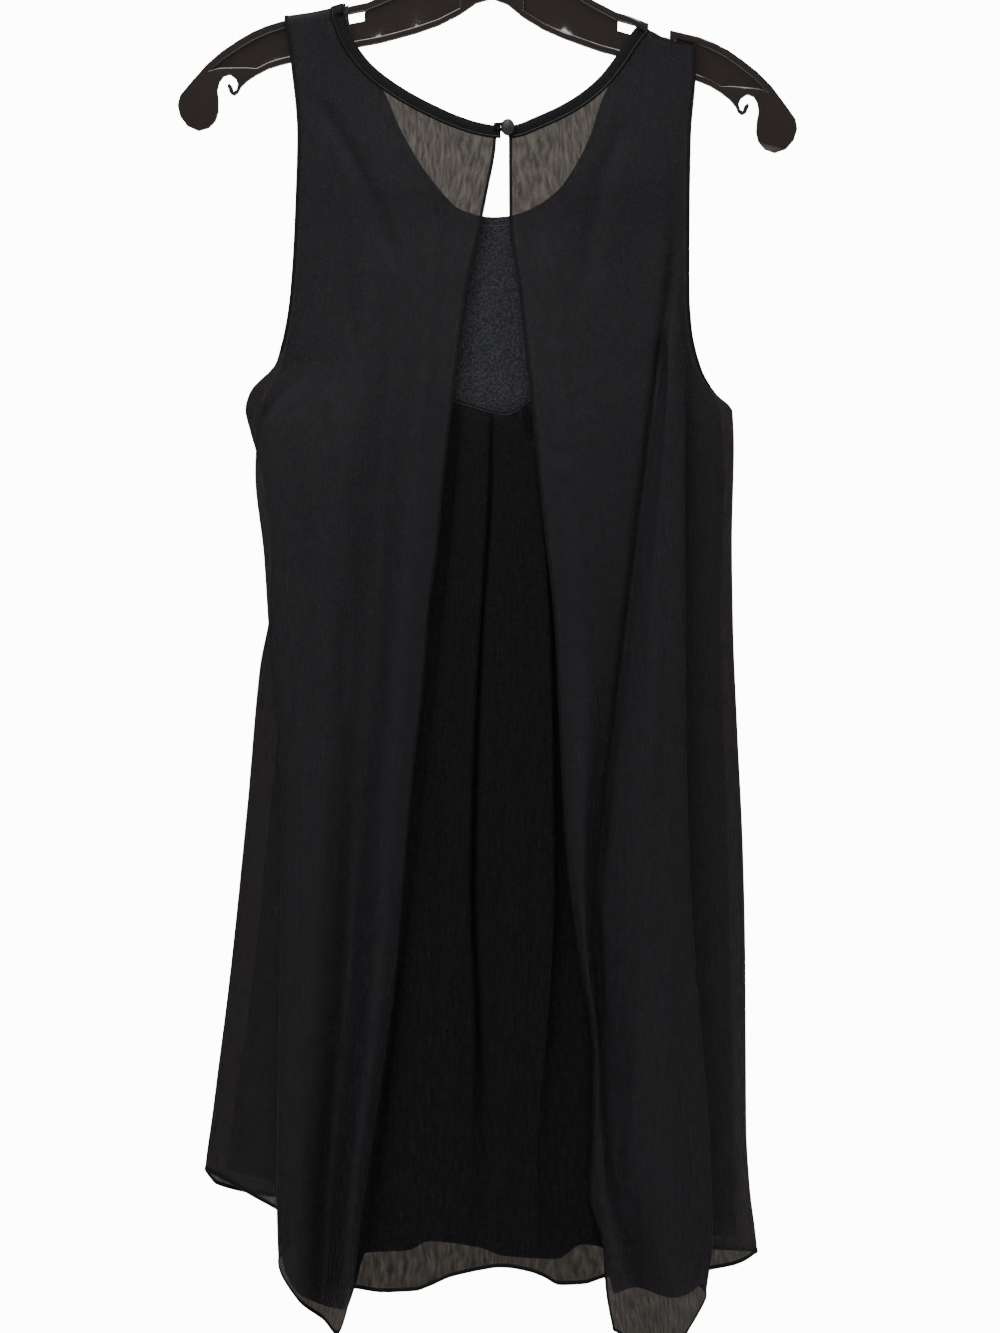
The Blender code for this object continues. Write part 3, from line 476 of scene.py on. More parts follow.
def sheet_mesh(name, points, cells, facing, slot):
    """A single smooth surface through a panel's points, with the cloth's own UV in metres.

    facing says which way its normals turn.
    """
    rows, columns = points.shape[:2]
    place = metres(points)
    middle = place[rows // 2]
    u = np.concatenate([[0], np.cumsum(np.linalg.norm(np.diff(middle, axis=0), axis=1))])
    v = -place[..., 2]
    used = {}
    verts, faces = [], []
    for i, j in np.argwhere(cells):
        corners = [(i, j), (i + 1, j), (i + 1, j + 1), (i, j + 1)]
        if facing > 0:
            corners.reverse()
        for c in corners:
            if c not in used:
                used[c] = len(verts)
                verts.append(place[c])
        faces.append([used[c] for c in corners])
    mesh = bpy.data.meshes.new(name)
    mesh.from_pydata([tuple(p) for p in verts], [], faces)
    where = [None] * len(verts)
    for c, k in used.items():
        where[k] = (u[c[1]], v[c])
    layer = mesh.uv_layers.new(name="cloth")
    loops = np.empty(len(mesh.loops), np.int32)
    mesh.loops.foreach_get("vertex_index", loops)
    layer.data.foreach_set("uv", np.array(where)[loops].ravel())
    mesh.polygons.foreach_set("use_smooth", [True] * len(mesh.polygons))
    return show(name, mesh, slot)


def chiffon_material(name, clear, light, shine):
    """Crinkle chiffon: fine twisted threads, see-through between, with a lengthwise
    crinkle. clear is how much shows through one layer, light is its own colour and
    shine its soft gloss."""
    made, tree, shader = material(name)
    uv = node(tree, "ShaderNodeUVMap", uv_map="cloth").outputs["UV"]
    # Crinkles stand about 2.1 mm apart, run 12 mm or so and wander sideways by 1 mm.
    wander = node(tree, "ShaderNodeTexNoise", {"Vector": uv, "Scale": 85.0, "Detail": 2.0})
    centred = node(tree, "ShaderNodeVectorMath", {0: wander.outputs["Color"],
                                                  1: (0.5, 0.5, 0.5)}, operation="SUBTRACT")
    shifted = node(tree, "ShaderNodeVectorMath",
                   {0: centred, 1: (0.0042, 0.004, 0.0), 2: uv}, operation="MULTIPLY_ADD")
    stretched = node(tree, "ShaderNodeMapping", {"Vector": shifted, "Scale": (480, 85, 1)})
    crinkle = node(tree, "ShaderNodeTexNoise",
                   {"Vector": stretched, "Scale": 1.0, "Detail": 2.0, "Roughness": 0.45})
    # The threads themselves, 0.3 mm apart, are too fine to show and are drawn at 0.8 mm.
    grain_place = node(tree, "ShaderNodeMapping", {"Vector": uv, "Scale": (1250, 1250, 1)})
    grain = node(tree, "ShaderNodeTexNoise",
                 {"Vector": grain_place, "Scale": 1.0, "Detail": 1.0})
    both = node(tree, "ShaderNodeMath", {0: grain, 1: 0.45, 2: crinkle},
                operation="MULTIPLY_ADD")
    seen = node(tree, "ShaderNodeMapRange",
                {"Value": both, "From Min": 0.50, "From Max": 0.98,
                 "To Min": clear * 0.3, "To Max": clear * 1.9})
    bump = node(tree, "ShaderNodeBump", {"Height": both, "Strength": 0.5, "Distance": 0.0007})
    feed(shader, {"Base Color": linear(light), "Roughness": 0.7,
                  "Specular IOR Level": shine, "Normal": bump})
    through = node(tree, "ShaderNodeBsdfTransparent", {"Color": linear("#fff0de")})
    mixed = node(tree, "ShaderNodeMixShader", {0: seen, 1: shader, 2: through})
    feed(tree.nodes["Material Output"], {"Surface": mixed})
    return made


chiffon = chiffon_material("black crinkle chiffon", 0.20, "#151418", 0.2)
FLAP_ROWS = 190
STRAP_KNOT = 4        # the table's column where the strap begins, and its mesh column
STRAP_COLUMN = 55
flaps = {}
for name, x_table, y_table, hem, side, creases in (
        ("back_flap_left_chiffon", LEFT_X, LEFT_Y, LEFT_HEM, "left", LEFT_CREASES),
        ("back_flap_right_chiffon", RIGHT_X, RIGHT_Y, RIGHT_HEM, "right", RIGHT_CREASES)):
    s = np.concatenate([np.linspace(0, STRAP_KNOT, STRAP_COLUMN + 1)[:-1],
                        np.linspace(STRAP_KNOT, 7, 46)])

    def x_at(drop, s=s, table=x_table):
        drop = np.broadcast_to(drop, np.shape(drop)[:-1] + s.shape)
        return across(read(table, drop), s)

    def y_at(x, drop, s=s, table=y_table):
        drop = np.broadcast_to(drop, np.shape(drop)[:-1] + s.shape)
        free = across(read(table, drop), s)
        mixed = ease((drop - 110) / 70)               # the yoke ends, the free flap begins
        return yoke_y(x, drop) * (1 - mixed) + free * mixed

    strap = s >= STRAP_KNOT
    top = find_top(lambda drop: x_at(np.asarray(drop)),
                   offset_neck(BACK_NECK, BINDING_WIDE + SEAM))
    points, cells = hang(x_at, y_at, top, across(np.tile(hem, (len(s), 1)), s), strap,
                         [(side, strap)], OVER_RISE, OVER_FACE, -1, FLAP_ROWS, creases)
    flaps[side] = points
    facing = -1 if side == "left" else 1
    piece = sheet_mesh(name, points, cells, facing, chiffon)
    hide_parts(f"back_flap_{side}")
    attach(piece, "root")


# ---- Pleated centre panel -----------------------------------------------------------
# Chiffon pleated by hand and sewn into a curved seam across the slip's back. One deep
# pleat left of the middle, a soft crease and a lap on the right, all fading downward.
PLEAT_X = (
    (264, -50, -38, -26, -8, -4.6, -1.5, 10, 22, 26, 46),
    (320, -58, -42, -28, -9.2, -5.5, -2, 12, 27, 31, 54),
    (431, -74, -55, -35, -15.5, -11.5, -7.5, 18.8, 35, 39, 66),
    (519, -86, -62, -42, -20, -15.6, -10, 23.1, 37, 41.5, 72),
    (611, -98, -70, -47, -22.5, -17.4, -11.5, 21, 38, 42.5, 80),
    (692, -106, -78, -50, -20, -15, -8.5, 18, 34, 38.5, 88),
    (786, -113, -86, -55, -23, -13.2, -3, 15.6, 27, 33.8, 95),
    (890, -119, -93, -61, -30, -17.8, -6, 13, 27, 35, 102),
)
PLEAT_Y = (
    (264, -27.6, -28, -28.4, -29.8, -27.6, -28.8, -28.6, -29.8, -27.8, -27),
    (320, -29.8, -31.5, -30, -33, -29, -32, -30.8, -33, -29.4, -29),
    (431, -31.5, -35.5, -32.5, -38, -31.5, -37.5, -34, -38, -32, -31.5),
    (519, -34, -38.5, -34.5, -42, -34.4, -41.5, -37, -42, -35, -34),
    (611, -36.5, -41, -36.8, -45, -36.8, -44.5, -39.5, -44.5, -37.2, -36.5),
    (786, -41, -44.5, -42.5, -48, -43.4, -48, -44.5, -47.5, -42.8, -41),
    (890, -43.5, -47.5, -45, -50.5, -46.8, -50, -47.5, -50, -46.5, -43),
)
PLEAT_TOP = ((-52, 254), (-37, 262.5), (-26.4, 267.5), (-15.6, 270.8), (-4.6, 274.1),
             (4.4, 275.6), (12, 273), (22.1, 265.3), (34, 258), (48, 250))
PLEAT_HEM = ((-124, 878), (-97, 880.3), (-79, 882.7), (-57.4, 881.9), (-48.2, 878.8),
             (-32.7, 871.8), (-15.1, 867.8), (0.3, 865.4), (22, 868.6), (31.3, 872.3),
             (42.1, 877.8), (59.1, 877.1), (72.2, 873), (104, 868))
# Listed as the flaps' creases are: small tucks at the seam, then long soft folds.
PLEAT_CREASES = (
    (11.6, 270, 12.4, 284, 1.6, 2.2, 0), (17, 270, 23, 296, 1.8, 2.6, 0.8),
    (-3, 274, 6, 279, 1.6, 1.4, 0), (-28, 272, -94, 866, 3.2, 3, 2.5),
    (14, 353, 20, 500, 2.2, -1, 1), (20, 560, 13, 850, 2, -1.3, 0.5),
    (0, 420, 6, 640, 3, 1.1, 0), (-36, 520, -42, 830, 6, -1.5, -2),
    (2, 600, -4, 850, 4, 1.5, 0), (-30, 660, -32, 868, 4.5, 1.6, 1),
    (56, 500, 62, 860, 7, -1.6, 2),
)
# The same chiffon as the flaps, but with a darker own colour, duller gloss and a little less
# see-through: painted shade for the panel recessed between the flaps.
pleated = chiffon_material("black crinkle chiffon in painted shade", 0.18, "#0a0a0d",
                           0.11)
s = np.linspace(0, 9, 136)
top, hem = (read(edge, across(read(PLEAT_X, np.full(len(s), near)), s))[..., 0]
            for edge, near in ((PLEAT_TOP, 268.0), (PLEAT_HEM, 875.0)))
share = np.linspace(0, 1, 170)[:, None] ** 1.1
drop = top + (hem - top) * share
x = across(read(PLEAT_X, drop), s)
y = creased(x, across(read(PLEAT_Y, drop), s), drop, PLEAT_CREASES, -1)
pleat_points = np.stack([x, y, drop], -1)
pleat = sheet_mesh("back_pleat_chiffon", pleat_points,
                   np.ones((len(share) - 1, len(s) - 1), bool), -1, pleated)
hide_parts("back_pleat_panel")
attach(pleat, "root")


# ---- Slip ---------------------------------------------------------------------------
# The dress's lining: an opaque black pebbled crepe shell, a back and a front sewn at the
# sides, with its own straps under the chiffon's and a round neck turned in and stitched.
# Columns: drop, depth of the overlay's front, of the slip's back and of its front, all at
# the middle, then the x of the slip's left and right side seams.
SECTION = (
    (20, 8.5, 6.3, 6.3, -146, 134.4),
    (40, 8.5, 6.3, 6, -141.5, 133.8),
    (90, 12, 9.5, 8.2, -137, 130),
    (140, 18, 12.5, 13.5, -138, 129),
    (190, 25, 15, 19, -141, 128.5),
    (240, 33, 18.5, 25, -149.5, 134),
    (273, 37, 22.5, 28, -164, 153.5),
    (319, 41, 25, 31, -156, 156.5),
    (409, 45, 27.5, 34, -145.5, 154),
    (544, 52, 31.5, 39, -158, 158),
    (665, 60, 35, 45, -170, 161),
    (813, 70, 38, 52, -189, 164),
    (925, 76, 40, 56, -192, 168),
)
# Neck edges: (x, drop), left to right.
SLIP_NECK = ((-107, 2), (-99, 24), (-91, 44), (-84, 61.5), (-78.5, 74.8),
             (-71.5, 88.8), (-65.5, 98.6), (-59, 107.4), (-52, 115.4), (-45, 122.2),
             (-37, 128.4), (-29, 133.2), (-21, 136.6), (-13.2, 138.8), (-4, 139.8),
             (7.9, 139), (16, 136.8), (24, 133.4), (32, 128.6), (40, 122.2),
             (47, 115), (53, 107.4), (58.5, 99), (64, 89), (69.5, 77.6),
             (74.6, 65.6), (79, 54), (87, 32), (94.7, 11))
FRONT_NECK = ((-115.5, 0.6), (-99, 24), (-80.5, 50), (-67, 80), (-48.5, 110),
              (-25, 135), (0, 148), (24, 140), (47.5, 112), (63, 84),
              (71.5, 58), (82, 38), (94, 22), (102.7, 8.4))
SLIP_FRONT_NECK = ((-115.5, 0.6), (-103, 24), (-88, 54), (-72, 84),
                   (-51, 110), (-25, 135), (0, 148), (24, 140),
                   (49, 112), (71, 84), (86, 54), (97, 26), (102.7, 8.4))
BACK_EDGE, FRONT_EDGE = 0.70, 0.76    # where straps begin, as fractions of the half width
UNDERARM, CLOSED_OVER = 225, 45       # the drop where sides begin to close, and how long
HEM_NEAR = 860.0                      # the hems' usual drop, to find each column's place
SLIP_HEM = ((-200, 797), (-158, 806), (-148, 868), (-136, 886), (-105, 895), (-99, 880),
            (-92, 856), (-62, 854), (-48, 848), (-14, 852), (4, 858), (40, 860),
            (58, 850), (72, 852), (79, 884), (93, 880), (120, 888), (136, 882),
            (147, 845), (175, 847))
SLIP_FRONT_HEM = ((-200, 797), (-110, 824), (0, 834), (100, 841), (175, 846))
# Flutes: middle and half width as fractions of the half width, depth, starting drop.
SLIP_FLUTES = ((-0.60, 0.16, 4, 400), (-0.10, 0.18, -3.5, 450), (0.45, 0.16, 4, 420))


def ring(neck, facing, rise, face, depth, sides, hem, flutes, part, rows, creases=(),
         begins=BACK_EDGE):
    """Points and cells of a panel with two straps and a scooped neck.

    depth is a column of SECTION. part gives the mesh's columns, from -1 to 1.
    """
    full = 2.6 if rise == OVER_RISE else 2.1          # how square the section is

    def ends(drop):
        drop = np.broadcast_to(drop, np.shape(drop)[:-1] + part.shape)
        low, high = sides(drop)
        return (low + high) / 2, (high - low) / 2, drop

    def x_at(drop):
        middle, half, _ = ends(drop)
        return middle + half * part

    def y_at(_, drop):
        drop = ends(drop)[2]
        inner = read(SECTION, drop)[..., depth]
        closed = ease((drop - UNDERARM) / CLOSED_OVER)
        edge = face * (1 - closed) + 0.05 * closed    # meets the back at the side seam
        y = edge + (inner - edge) * np.maximum(1 - np.abs(part) ** full, 0.0) ** 0.7
        for middle, wide, deep, start in flutes:
            y = y + deep * ease((drop - start) / 420) * np.exp(-((part - middle) / wide) ** 2)
        return facing * y

    strap = np.abs(part) >= begins - 1e-9
    top = find_top(lambda drop: x_at(np.asarray(drop)), neck)
    foot = read(hem, x_at(np.full(part.shape, HEM_NEAR)))[..., 0]
    points, cells = hang(x_at, y_at, top, foot, strap,
                         [("left", strap & (part < 0)), ("right", strap & (part > 0))],
                         rise, face, facing, rows, creases)
    middle = np.diff(np.sign(part) * strap)       # no cloth over the ridge between straps
    cells[:OVER_STEPS] &= (middle == 0)[None, :]
    return points, cells


def spread(inner, outer, begins=BACK_EDGE):
    """Columns from seam to seam: outer on each strap, inner across the neck."""
    strap = np.linspace(begins, 1.0, outer)
    return np.concatenate([-strap[::-1], np.linspace(-begins, begins, inner)[1:-1], strap])


def slip_sides(drop):
    found = read(SECTION, drop)
    return found[..., 3], found[..., 4]


# Crepe: hard-twisted yarn leaves a pebbled face of grains about 1.5 mm across that catch
# the light as faint grey specks on near black.
crepe, tree, shader = material("black pebbled crepe")
place = node(tree, "ShaderNodeTexCoord").outputs["Object"]
pebbles = node(tree, "ShaderNodeTexVoronoi", {"Vector": place, "Scale": 620.0})
patches = node(tree, "ShaderNodeTexNoise", {"Vector": place, "Scale": 640.0, "Detail": 2.0})
speck = ramp(tree, patches, (0.38, "#060a15"), (0.66, "#2a292f"))
bump = node(tree, "ShaderNodeBump", {"Height": pebbles, "Strength": 0.8, "Distance": 0.0007})
bump.invert = True
feed(shader, {"Base Color": speck, "Roughness": 0.8, "Specular IOR Level": 0.3,
              "Normal": bump})

SLIP_SPREAD = (90, 18)                # mesh columns across the neck, and on each strap
slips = {}
for name, neck, facing, depth, hem, begins, cut, area in (
        ("slip_back", SLIP_NECK, -1, 1, SLIP_HEM, BACK_EDGE, (0.36, 0.90), 0.25),
        ("slip_front", offset_neck(SLIP_FRONT_NECK, 2.0), 1, 2, SLIP_FRONT_HEM, FRONT_EDGE,
         (0.36, 0.85), 0.24)):
    part = spread(*SLIP_SPREAD, begins)
    points, cells = ring(neck, facing, SLIP_RISE, SLIP_FACE, depth, slip_sides, hem,
                         SLIP_FLUTES, part, 130, begins=begins)
    slips[name] = points
    piece = sheet_mesh(name + "_crepe", points, cells, -facing, crepe)
    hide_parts(name)
    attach(piece, "root")


# ---- Front of the overlay ------------------------------------------------------------
# One panel of the same crinkle chiffon on the far side, scooped at the neck, falling in
# soft flutes from the bust to a rolled hem.
OVER_HEM = ((-206, 800), (-196, 812), (-150, 824), (-60, 842), (0, 846), (70, 850),
            (140, 858), (182, 858))
FRONT_FLUTES = ((-0.72, 0.10, 9, 380), (-0.43, 0.13, -11, 300), (-0.12, 0.12, 12, 420),
                (0.19, 0.11, -9, 350), (0.47, 0.12, 11, 330), (0.76, 0.09, -8, 460))
FRONT_CREASES = (
    (-118, 60, -72, 170, 7, 1.2, 5), (80, 84, 58, 190, 7, 1.1, -4),
    (-96, 220, -120, 700, 6, 2.4, 4), (-40, 260, -30, 800, 7, -2.2, -3),
    (30, 240, 44, 760, 6, 2, 4), (104, 210, 118, 720, 5.5, 2.6, -3),
    (-66, 430, -80, 830, 5, 1.8, 2), (76, 380, 84, 830, 5, -1.9, 2),
)


def over_sides(drop):
    return read(LEFT_X, drop)[..., 7], read(RIGHT_X, drop)[..., 7]


part = spread(100, 24, FRONT_EDGE)
front_points, cells = ring(offset_neck(FRONT_NECK, BINDING_WIDE + SEAM), 1, OVER_RISE,
                           OVER_FACE, 0, over_sides, OVER_HEM, FRONT_FLUTES, part, 170,
                           FRONT_CREASES, FRONT_EDGE)
front = sheet_mesh("front_overlay_chiffon", front_points, cells, -1, chiffon)
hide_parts("front_overlay")
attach(front, "root")
# The columns where the neck's edge begins and ends.
front_first, front_last = np.flatnonzero(np.isclose(np.abs(part), FRONT_EDGE))[[0, -1]]


# ---- Neck binding -------------------------------------------------------------------
# A bias strip of the same chiffon folded twice, so it is opaque. It rolls softly over the
# raw neck edge and is topstitched just inside its seam.
# Folded chiffon lets no light through and shows a faint rib, at 45 degrees to the strip.
bound, tree, shader = material("folded black chiffon")
uv = node(tree, "ShaderNodeUVMap", uv_map="cloth").outputs["UV"]
turned = node(tree, "ShaderNodeMapping", {"Vector": uv, "Rotation": (0, 0, math.pi / 4),
                                          "Scale": (900, 200, 1)})
ribs = node(tree, "ShaderNodeTexNoise", {"Vector": turned, "Scale": 1.0, "Detail": 2.0})
tint = ramp(tree, ribs, (0.35, "#060607"), (0.7, "#0d0d0f"))
bump = node(tree, "ShaderNodeBump", {"Height": ribs, "Strength": 0.6, "Distance": 0.0005})
feed(shader, {"Base Color": tint, "Roughness": 0.7, "Specular IOR Level": 0.14,
              "Normal": bump})


def smooth_path(path, step):
    """A path of points resampled at an even step, mm."""
    path = np.asarray(path, float)
    run = np.concatenate([[0], np.cumsum(np.linalg.norm(np.diff(path, axis=0), axis=1))])
    at = np.linspace(0, run[-1], max(int(run[-1] / step), 3))
    return np.stack([np.interp(at, run, path[:, k]) for k in range(path.shape[1])], -1)


def strip(name, outer, inner, thick, slot, wave=0.0, seed=0):
    """A closed soft strip between two edges of mm points (x, y, drop), round at its rims."""
    outer, inner = np.asarray(outer, float), np.asarray(inner, float)
    run = np.gradient((outer + inner) / 2, axis=0)
    wide = inner - outer
    up = np.cross(run, wide)
    up /= np.maximum(np.linalg.norm(up, axis=1, keepdims=True), 1e-9)
    length = np.concatenate([[0], np.cumsum(np.linalg.norm(np.diff(outer, axis=0), axis=1))])
    ripple = wave * (np.sin(length / 5.3 + seed) + 0.6 * np.sin(length / 2.9 + 2.1 * seed))
    rings = []
    for turn in np.linspace(0, 2 * math.pi, 13)[:-1]:
        flat = np.sign(math.cos(turn)) * abs(math.cos(turn)) ** 0.55
        high = np.sign(math.sin(turn)) * abs(math.sin(turn)) ** 0.8
        rings.append(outer + wide * (0.5 - 0.5 * flat)
                     + up * (high * thick / 2 + ripple[:, None] * (high > 0)))
    place = metres(np.stack(rings, 1))
    count, sides = place.shape[:2]
    verts = [tuple(p) for row in place for p in row]
    faces = [[i * sides + k, i * sides + (k + 1) % sides, (i + 1) * sides + (k + 1) % sides,
              (i + 1) * sides + k] for i in range(count - 1) for k in range(sides)]
    faces += [list(range(sides)), [(count - 1) * sides + k for k in range(sides)][::-1]]
    mesh = bpy.data.meshes.new(name)
    mesh.from_pydata(verts, [], faces)
    bm = bmesh.new()
    bm.from_mesh(mesh)
    bmesh.ops.recalc_face_normals(bm, faces=bm.faces)
    layer = bm.loops.layers.uv.new("cloth")
    around = np.linalg.norm(wide, axis=1).mean() / 1000 * 2 / sides
    bm.verts.index_update()
    for face in bm.faces:
        face.smooth = len(face.verts) == 4
        for loop in face.loops:
            i, k = divmod(loop.vert.index, sides)
            loop[layer].uv = (around * min(k, sides - k), length[i] / 1000)
    bm.to_mesh(mesh)
    bm.free()
    return show(name, mesh, slot)


def binding_edges(edge, over):
    """The binding's two edges beside a panel's neck edge, and over the hanger with it."""
    edge = np.asarray(edge, float)
    flat = edge[:, [0, 2]]
    run = np.gradient(flat, axis=0)
    run /= np.linalg.norm(run, axis=1, keepdims=True)
    inward = np.stack([run[:, 1], -run[:, 0]], axis=1)
    sides = []
    for gap in (-0.9, SEAM + BINDING_WIDE):
        moved = edge.copy()
        moved[:, 0] += inward[:, 0] * gap
        moved[:, 2] += inward[:, 1] * gap
        if len(over):
            lifted = np.array(over, float)
            lifted[:, 2] += arm_drop(lifted[:, 0] + gap) - arm_drop(lifted[:, 0])
            lifted[:, 0] += gap
            moved = np.concatenate([lifted, moved])
        sides.append(moved)
    return sides


left, right = flaps["left"], flaps["right"]
past_edge = left[OVER_STEPS, 0] + [(1.4, 0.0, 0.1), (2.8, 0.0, 0.1)]   # under the button
left_neck = left[OVER_STEPS, :STRAP_COLUMN + 1][::-1]
necks = {
    "neck_binding_left": (np.concatenate([left_neck, past_edge]),
                          left[:OVER_STEPS, STRAP_COLUMN]),
    "neck_binding_right": (right[OVER_STEPS, :STRAP_COLUMN + 1], []),
    "neck_binding_front": (front_points[OVER_STEPS, front_first:front_last + 1],
                           front_points[:OVER_STEPS, front_first]),
}
bindings = {}
for seed, (name, (edge, over)) in enumerate(necks.items()):
    lower, upper = binding_edges(edge, over)
    bindings[name] = (lower, upper)
    piece = strip(name + "_bias", lower, upper, 2.0, bound, wave=0.10, seed=seed)
    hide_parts(name)
    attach(piece, "root")


# ---- Button and loop ----------------------------------------------------------------
# A half-ball button covered in the dress's own cloth closes the nape, held by a fine
# rouleau loop that runs back under the left binding.
BUTTON_X, BUTTON_DROP = 6.4, 78.0
BUTTON_TALL = 1.2                     # its height over its width
base = float(yoke_y(0.0, BUTTON_DROP)) - 1.7
# From the shank outward: (radius, depth).
profile = [(0.0, base - 0.4), (1.7, base - 0.4), (1.8, base - 2.2), (3.6, base - 2.4),
           (4.5, base - 2.8), (4.85, base - 3.4), (4.9, base - 4.0), (4.7, base - 4.8),
           (4.2, base - 5.5), (3.4, base - 6.1), (2.4, base - 6.5), (1.2, base - 6.75),
           (0.0, base - 6.8)]
bm = bmesh.new()
sides = 40
rings = []
for radius, y in profile:
    rings.append([bm.verts.new(metres((BUTTON_X + radius * math.cos(a), y,
                                       BUTTON_DROP - BUTTON_TALL * radius * math.sin(a))))
                  for a in np.linspace(0, 2 * math.pi, sides + 1)[:-1]])
for low, high in zip(rings, rings[1:]):
    for k in range(sides):
        m = (k + 1) % sides
        bm.faces.new((low[k], low[m], high[m], high[k]))
bmesh.ops.remove_doubles(bm, verts=bm.verts, dist=1e-6)
bmesh.ops.recalc_face_normals(bm, faces=bm.faces)
mesh = bpy.data.meshes.new("nape_button")
bm.to_mesh(mesh)
bm.free()
mesh.polygons.foreach_set("use_smooth", [True] * len(mesh.polygons))
# The cover is the crepe drawn tight, so its grain is finer and it shines a little.
covered, tree, shader = material("crepe drawn over a button")
place = node(tree, "ShaderNodeTexCoord").outputs["Object"]
grain = node(tree, "ShaderNodeTexVoronoi", {"Vector": place, "Scale": 1100.0})
tint = ramp(tree, grain, (0.0, "#141316"), (1.0, "#070709"))
bump = node(tree, "ShaderNodeBump", {"Height": grain, "Strength": 0.5, "Distance": 0.0003})
feed(shader, {"Base Color": tint, "Roughness": 0.5, "Normal": bump})
button = show("nape_button", mesh, covered)
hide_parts("button")
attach(button, "root")

# The loop leaves the left flap, goes round the button's shank and comes back.
around = [(BUTTON_X + 3.4 * math.cos(a), base - 1.4, BUTTON_DROP - 3.2 * math.sin(a))
          for a in np.radians(np.arange(100, -121, -11))]
middle = smooth_path([(-3.4, base - 1.3, BUTTON_DROP - 2.1),
                      (1.2, base - 1.3, BUTTON_DROP - 2.3), *around,
                      (1.4, base - 1.3, BUTTON_DROP + 1.2),
                      (-3.4, base - 1.3, BUTTON_DROP + 0.3)], 0.5)
side = np.cross(np.gradient(middle, axis=0), (0.0, 1.0, 0.0))
side /= np.linalg.norm(side, axis=1, keepdims=True)
loop = strip("nape_loop", middle - side * 1.25, middle + side * 1.25, 1.9, bound)
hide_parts("button_loop")
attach(loop, "root")


# ---- Rolled hems --------------------------------------------------------------------
# Every free edge of the chiffon is rolled to the inside in a narrow hem of three layers,
# which shows as a thin dark cord 2.4 to 3 mm wide along the sheer cloth.
HEM_WIDE, ARMHOLE_WIDE, EDGE_WIDE = 3.0, 2.6, 2.4
BACK_ARMHOLE, FRONT_ARMHOLE = OVER_STEPS + 62, OVER_STEPS + 56     # rows down to the underarm


def side_hem(points, first, last, column, width):
    """A hem along a side of a panel, between two rows: its outer edge, inward, width."""
    inward = column + 2 if column == 0 else column - 2
    return points[first:last, column], points[first:last, inward], width


hems = {
    "hem_left_flap": (left[-1], left[-2], HEM_WIDE),
    "edge_left_flap": side_hem(left, OVER_STEPS, None, 0, EDGE_WIDE),
    "hem_right_flap": (right[-1], right[-2], HEM_WIDE),
    "edge_right_flap": side_hem(right, OVER_STEPS, None, 0, EDGE_WIDE),
    "hem_pleat": (pleat_points[-1], pleat_points[-2], HEM_WIDE),
    "hem_front": (front_points[-1], front_points[-2], HEM_WIDE),
    "armhole_left_back": side_hem(left, 0, BACK_ARMHOLE, -1, ARMHOLE_WIDE),
    "armhole_right_back": side_hem(right, 0, BACK_ARMHOLE, -1, ARMHOLE_WIDE),
    "armhole_left_front": side_hem(front_points, 0, FRONT_ARMHOLE, 0, ARMHOLE_WIDE),
    "armhole_right_front": side_hem(front_points, 0, FRONT_ARMHOLE, -1, ARMHOLE_WIDE),
}
for seed, (name, (outer, inward, width)) in enumerate(hems.items()):
    step = inward - outer
    inner = outer + step / np.linalg.norm(step, axis=1, keepdims=True) * width
    thick = 0.5 if name.startswith("edge") else 0.9
    piece = strip(name, outer, inner, thick, bound, wave=0.06, seed=seed)
    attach(piece, "root")


# ---- Topstitching -------------------------------------------------------------------
# Black polyester thread, about 12 stitches to the inch, runs along the bindings, the
# slip's turned neck and the seam that holds the pleats.
STITCH_PITCH, STITCH_LONG, THREAD_RADIUS = 0.0021, 0.0016, 0.00022          # metres


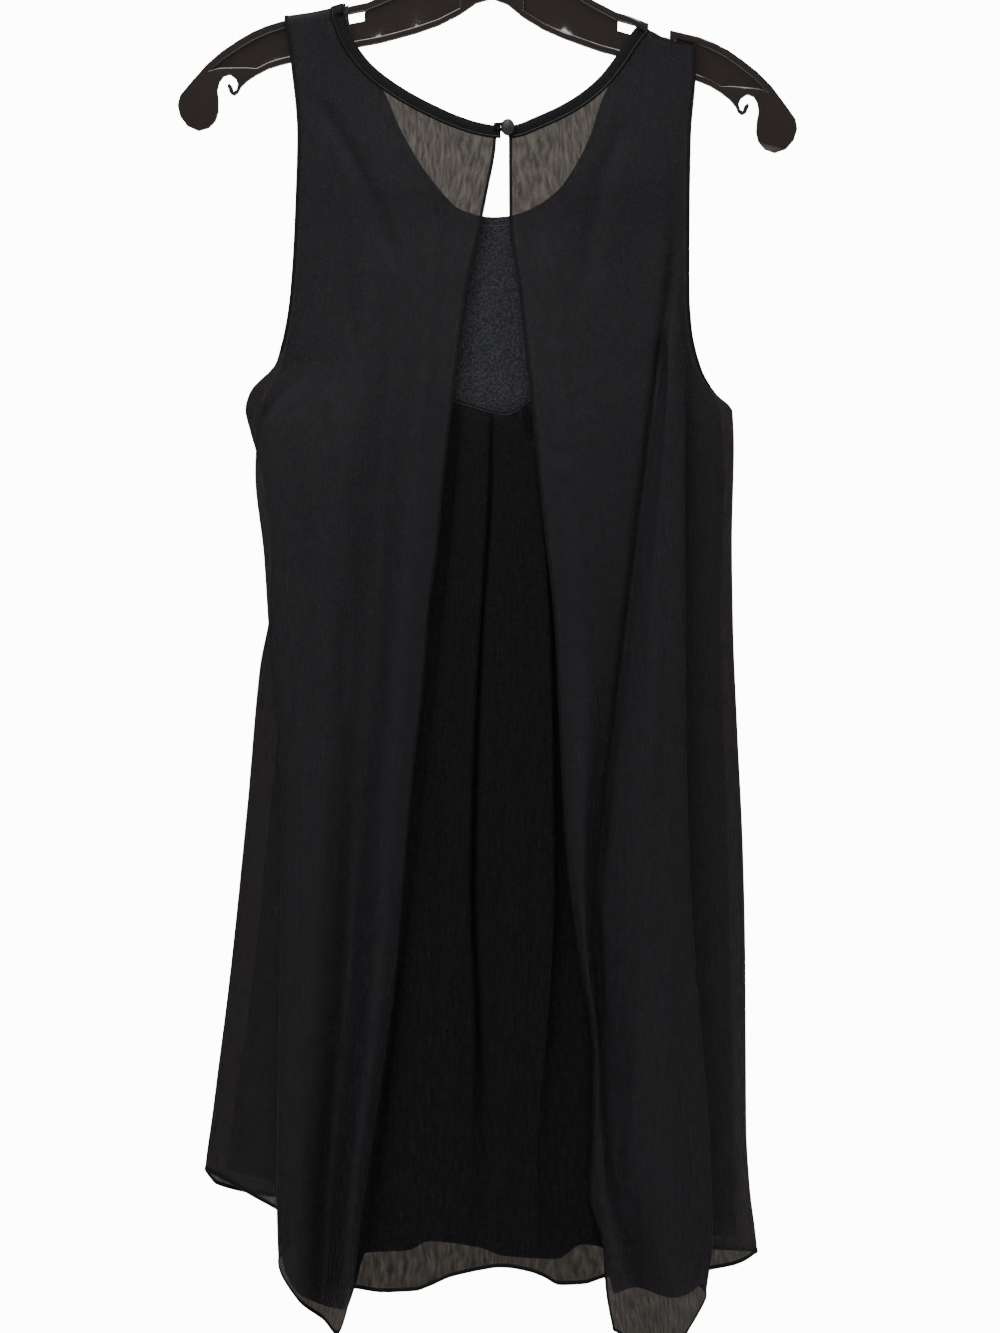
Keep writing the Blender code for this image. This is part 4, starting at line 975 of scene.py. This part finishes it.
def stitch_tree(name, slot):
    """Geometry nodes that set a row of small stitches along a line of vertices."""
    tree = bpy.data.node_groups.new(name, "GeometryNodeTree")
    sockets = tree.interface
    sockets.new_socket("Line", in_out="INPUT", socket_type="NodeSocketGeometry")
    for label, value in (("Pitch", STITCH_PITCH), ("Length", STITCH_LONG),
                         ("Thread", THREAD_RADIUS)):
        socket = sockets.new_socket(label, in_out="INPUT", socket_type="NodeSocketFloat")
        socket.default_value = value
    sockets.new_socket("Stitches", in_out="OUTPUT", socket_type="NodeSocketGeometry")
    given = node(tree, "NodeGroupInput")
    line = node(tree, "GeometryNodeMeshToCurve", {"Mesh": given.outputs["Line"]})
    evenly = node(tree, "GeometryNodeResampleCurve",
                  {"Curve": line, "Length": given.outputs["Pitch"]}, mode="LENGTH")
    dots = node(tree, "GeometryNodeCurveToPoints", {"Curve": evenly}, mode="EVALUATED")
    thread = node(tree, "GeometryNodeMeshCylinder",
                  {"Vertices": 5, "Side Segments": 1, "Radius": given.outputs["Thread"],
                   "Depth": given.outputs["Length"]})
    along_line = node(tree, "FunctionNodeAlignRotationToVector",
                      {"Vector": dots.outputs["Tangent"]}, axis="Z")
    placed = node(tree, "GeometryNodeInstanceOnPoints", {"Points": dots, "Instance": thread,
                                                         "Rotation": along_line})
    real = node(tree, "GeometryNodeRealizeInstances", {"Geometry": placed})
    finish = node(tree, "GeometryNodeSetMaterial", {"Geometry": real, "Material": slot})
    node(tree, "NodeGroupOutput", {"Stitches": finish})
    return tree


# Spun polyester is round and slightly glossy, so each stitch shows as a short bright dash.
thread, tree, shader = material("spun polyester thread")
place = node(tree, "ShaderNodeTexCoord").outputs["Object"]
plies = node(tree, "ShaderNodeTexNoise", {"Vector": place, "Scale": 2500.0, "Detail": 1.0})
tint = ramp(tree, plies, (0.0, "#0b0b0c"), (1.0, "#2a292b"))
feed(shader, {"Base Color": tint, "Roughness": 0.45})
stitches_tree = stitch_tree("row_of_stitches", thread)


def stitch_row(name, paths):
    """One mesh of the stitches along several paths of mm points."""
    verts, edges = [], []
    for path in paths:
        start = len(verts)
        path = smooth_path(path, 2.0)
        verts += list(metres(path))
        edges += [(start + k, start + k + 1) for k in range(len(path) - 1)]
    mesh = bpy.data.meshes.new(name + "_line")
    mesh.from_pydata(verts, edges, [])
    line = show(name + "_line", mesh)
    line.modifiers.new("stitches", "NODES").node_group = stitches_tree
    graph = bpy.context.evaluated_depsgraph_get()
    made = bpy.data.meshes.new_from_object(line.evaluated_get(graph), depsgraph=graph)
    made.name = name
    bpy.data.objects.remove(line)
    piece = show(name, made)
    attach(piece, "root")


def lifted(path, far):
    """A path moved along the depth by some mm, toward the viewer when negative."""
    path = np.array(path, float)
    path[:, 1] += far
    return path


stitch_row("binding_stitches",
           [lifted(lower * 0.82 + upper * 0.18, 1.15 if name.endswith("front") else -1.15)
            for name, (lower, upper) in bindings.items()])
neck_row = slips["slip_back"][OVER_STEPS + 1]
inside = np.abs(spread(*SLIP_SPREAD)) <= BACK_EDGE
stitch_row("slip_neck_stitches", [lifted(neck_row[inside] + (0, 0, 3.0), -0.35)])
stitch_row("pleat_seam_stitches", [lifted(pleat_points[0] + (0, 0, 1.6), -0.5)])
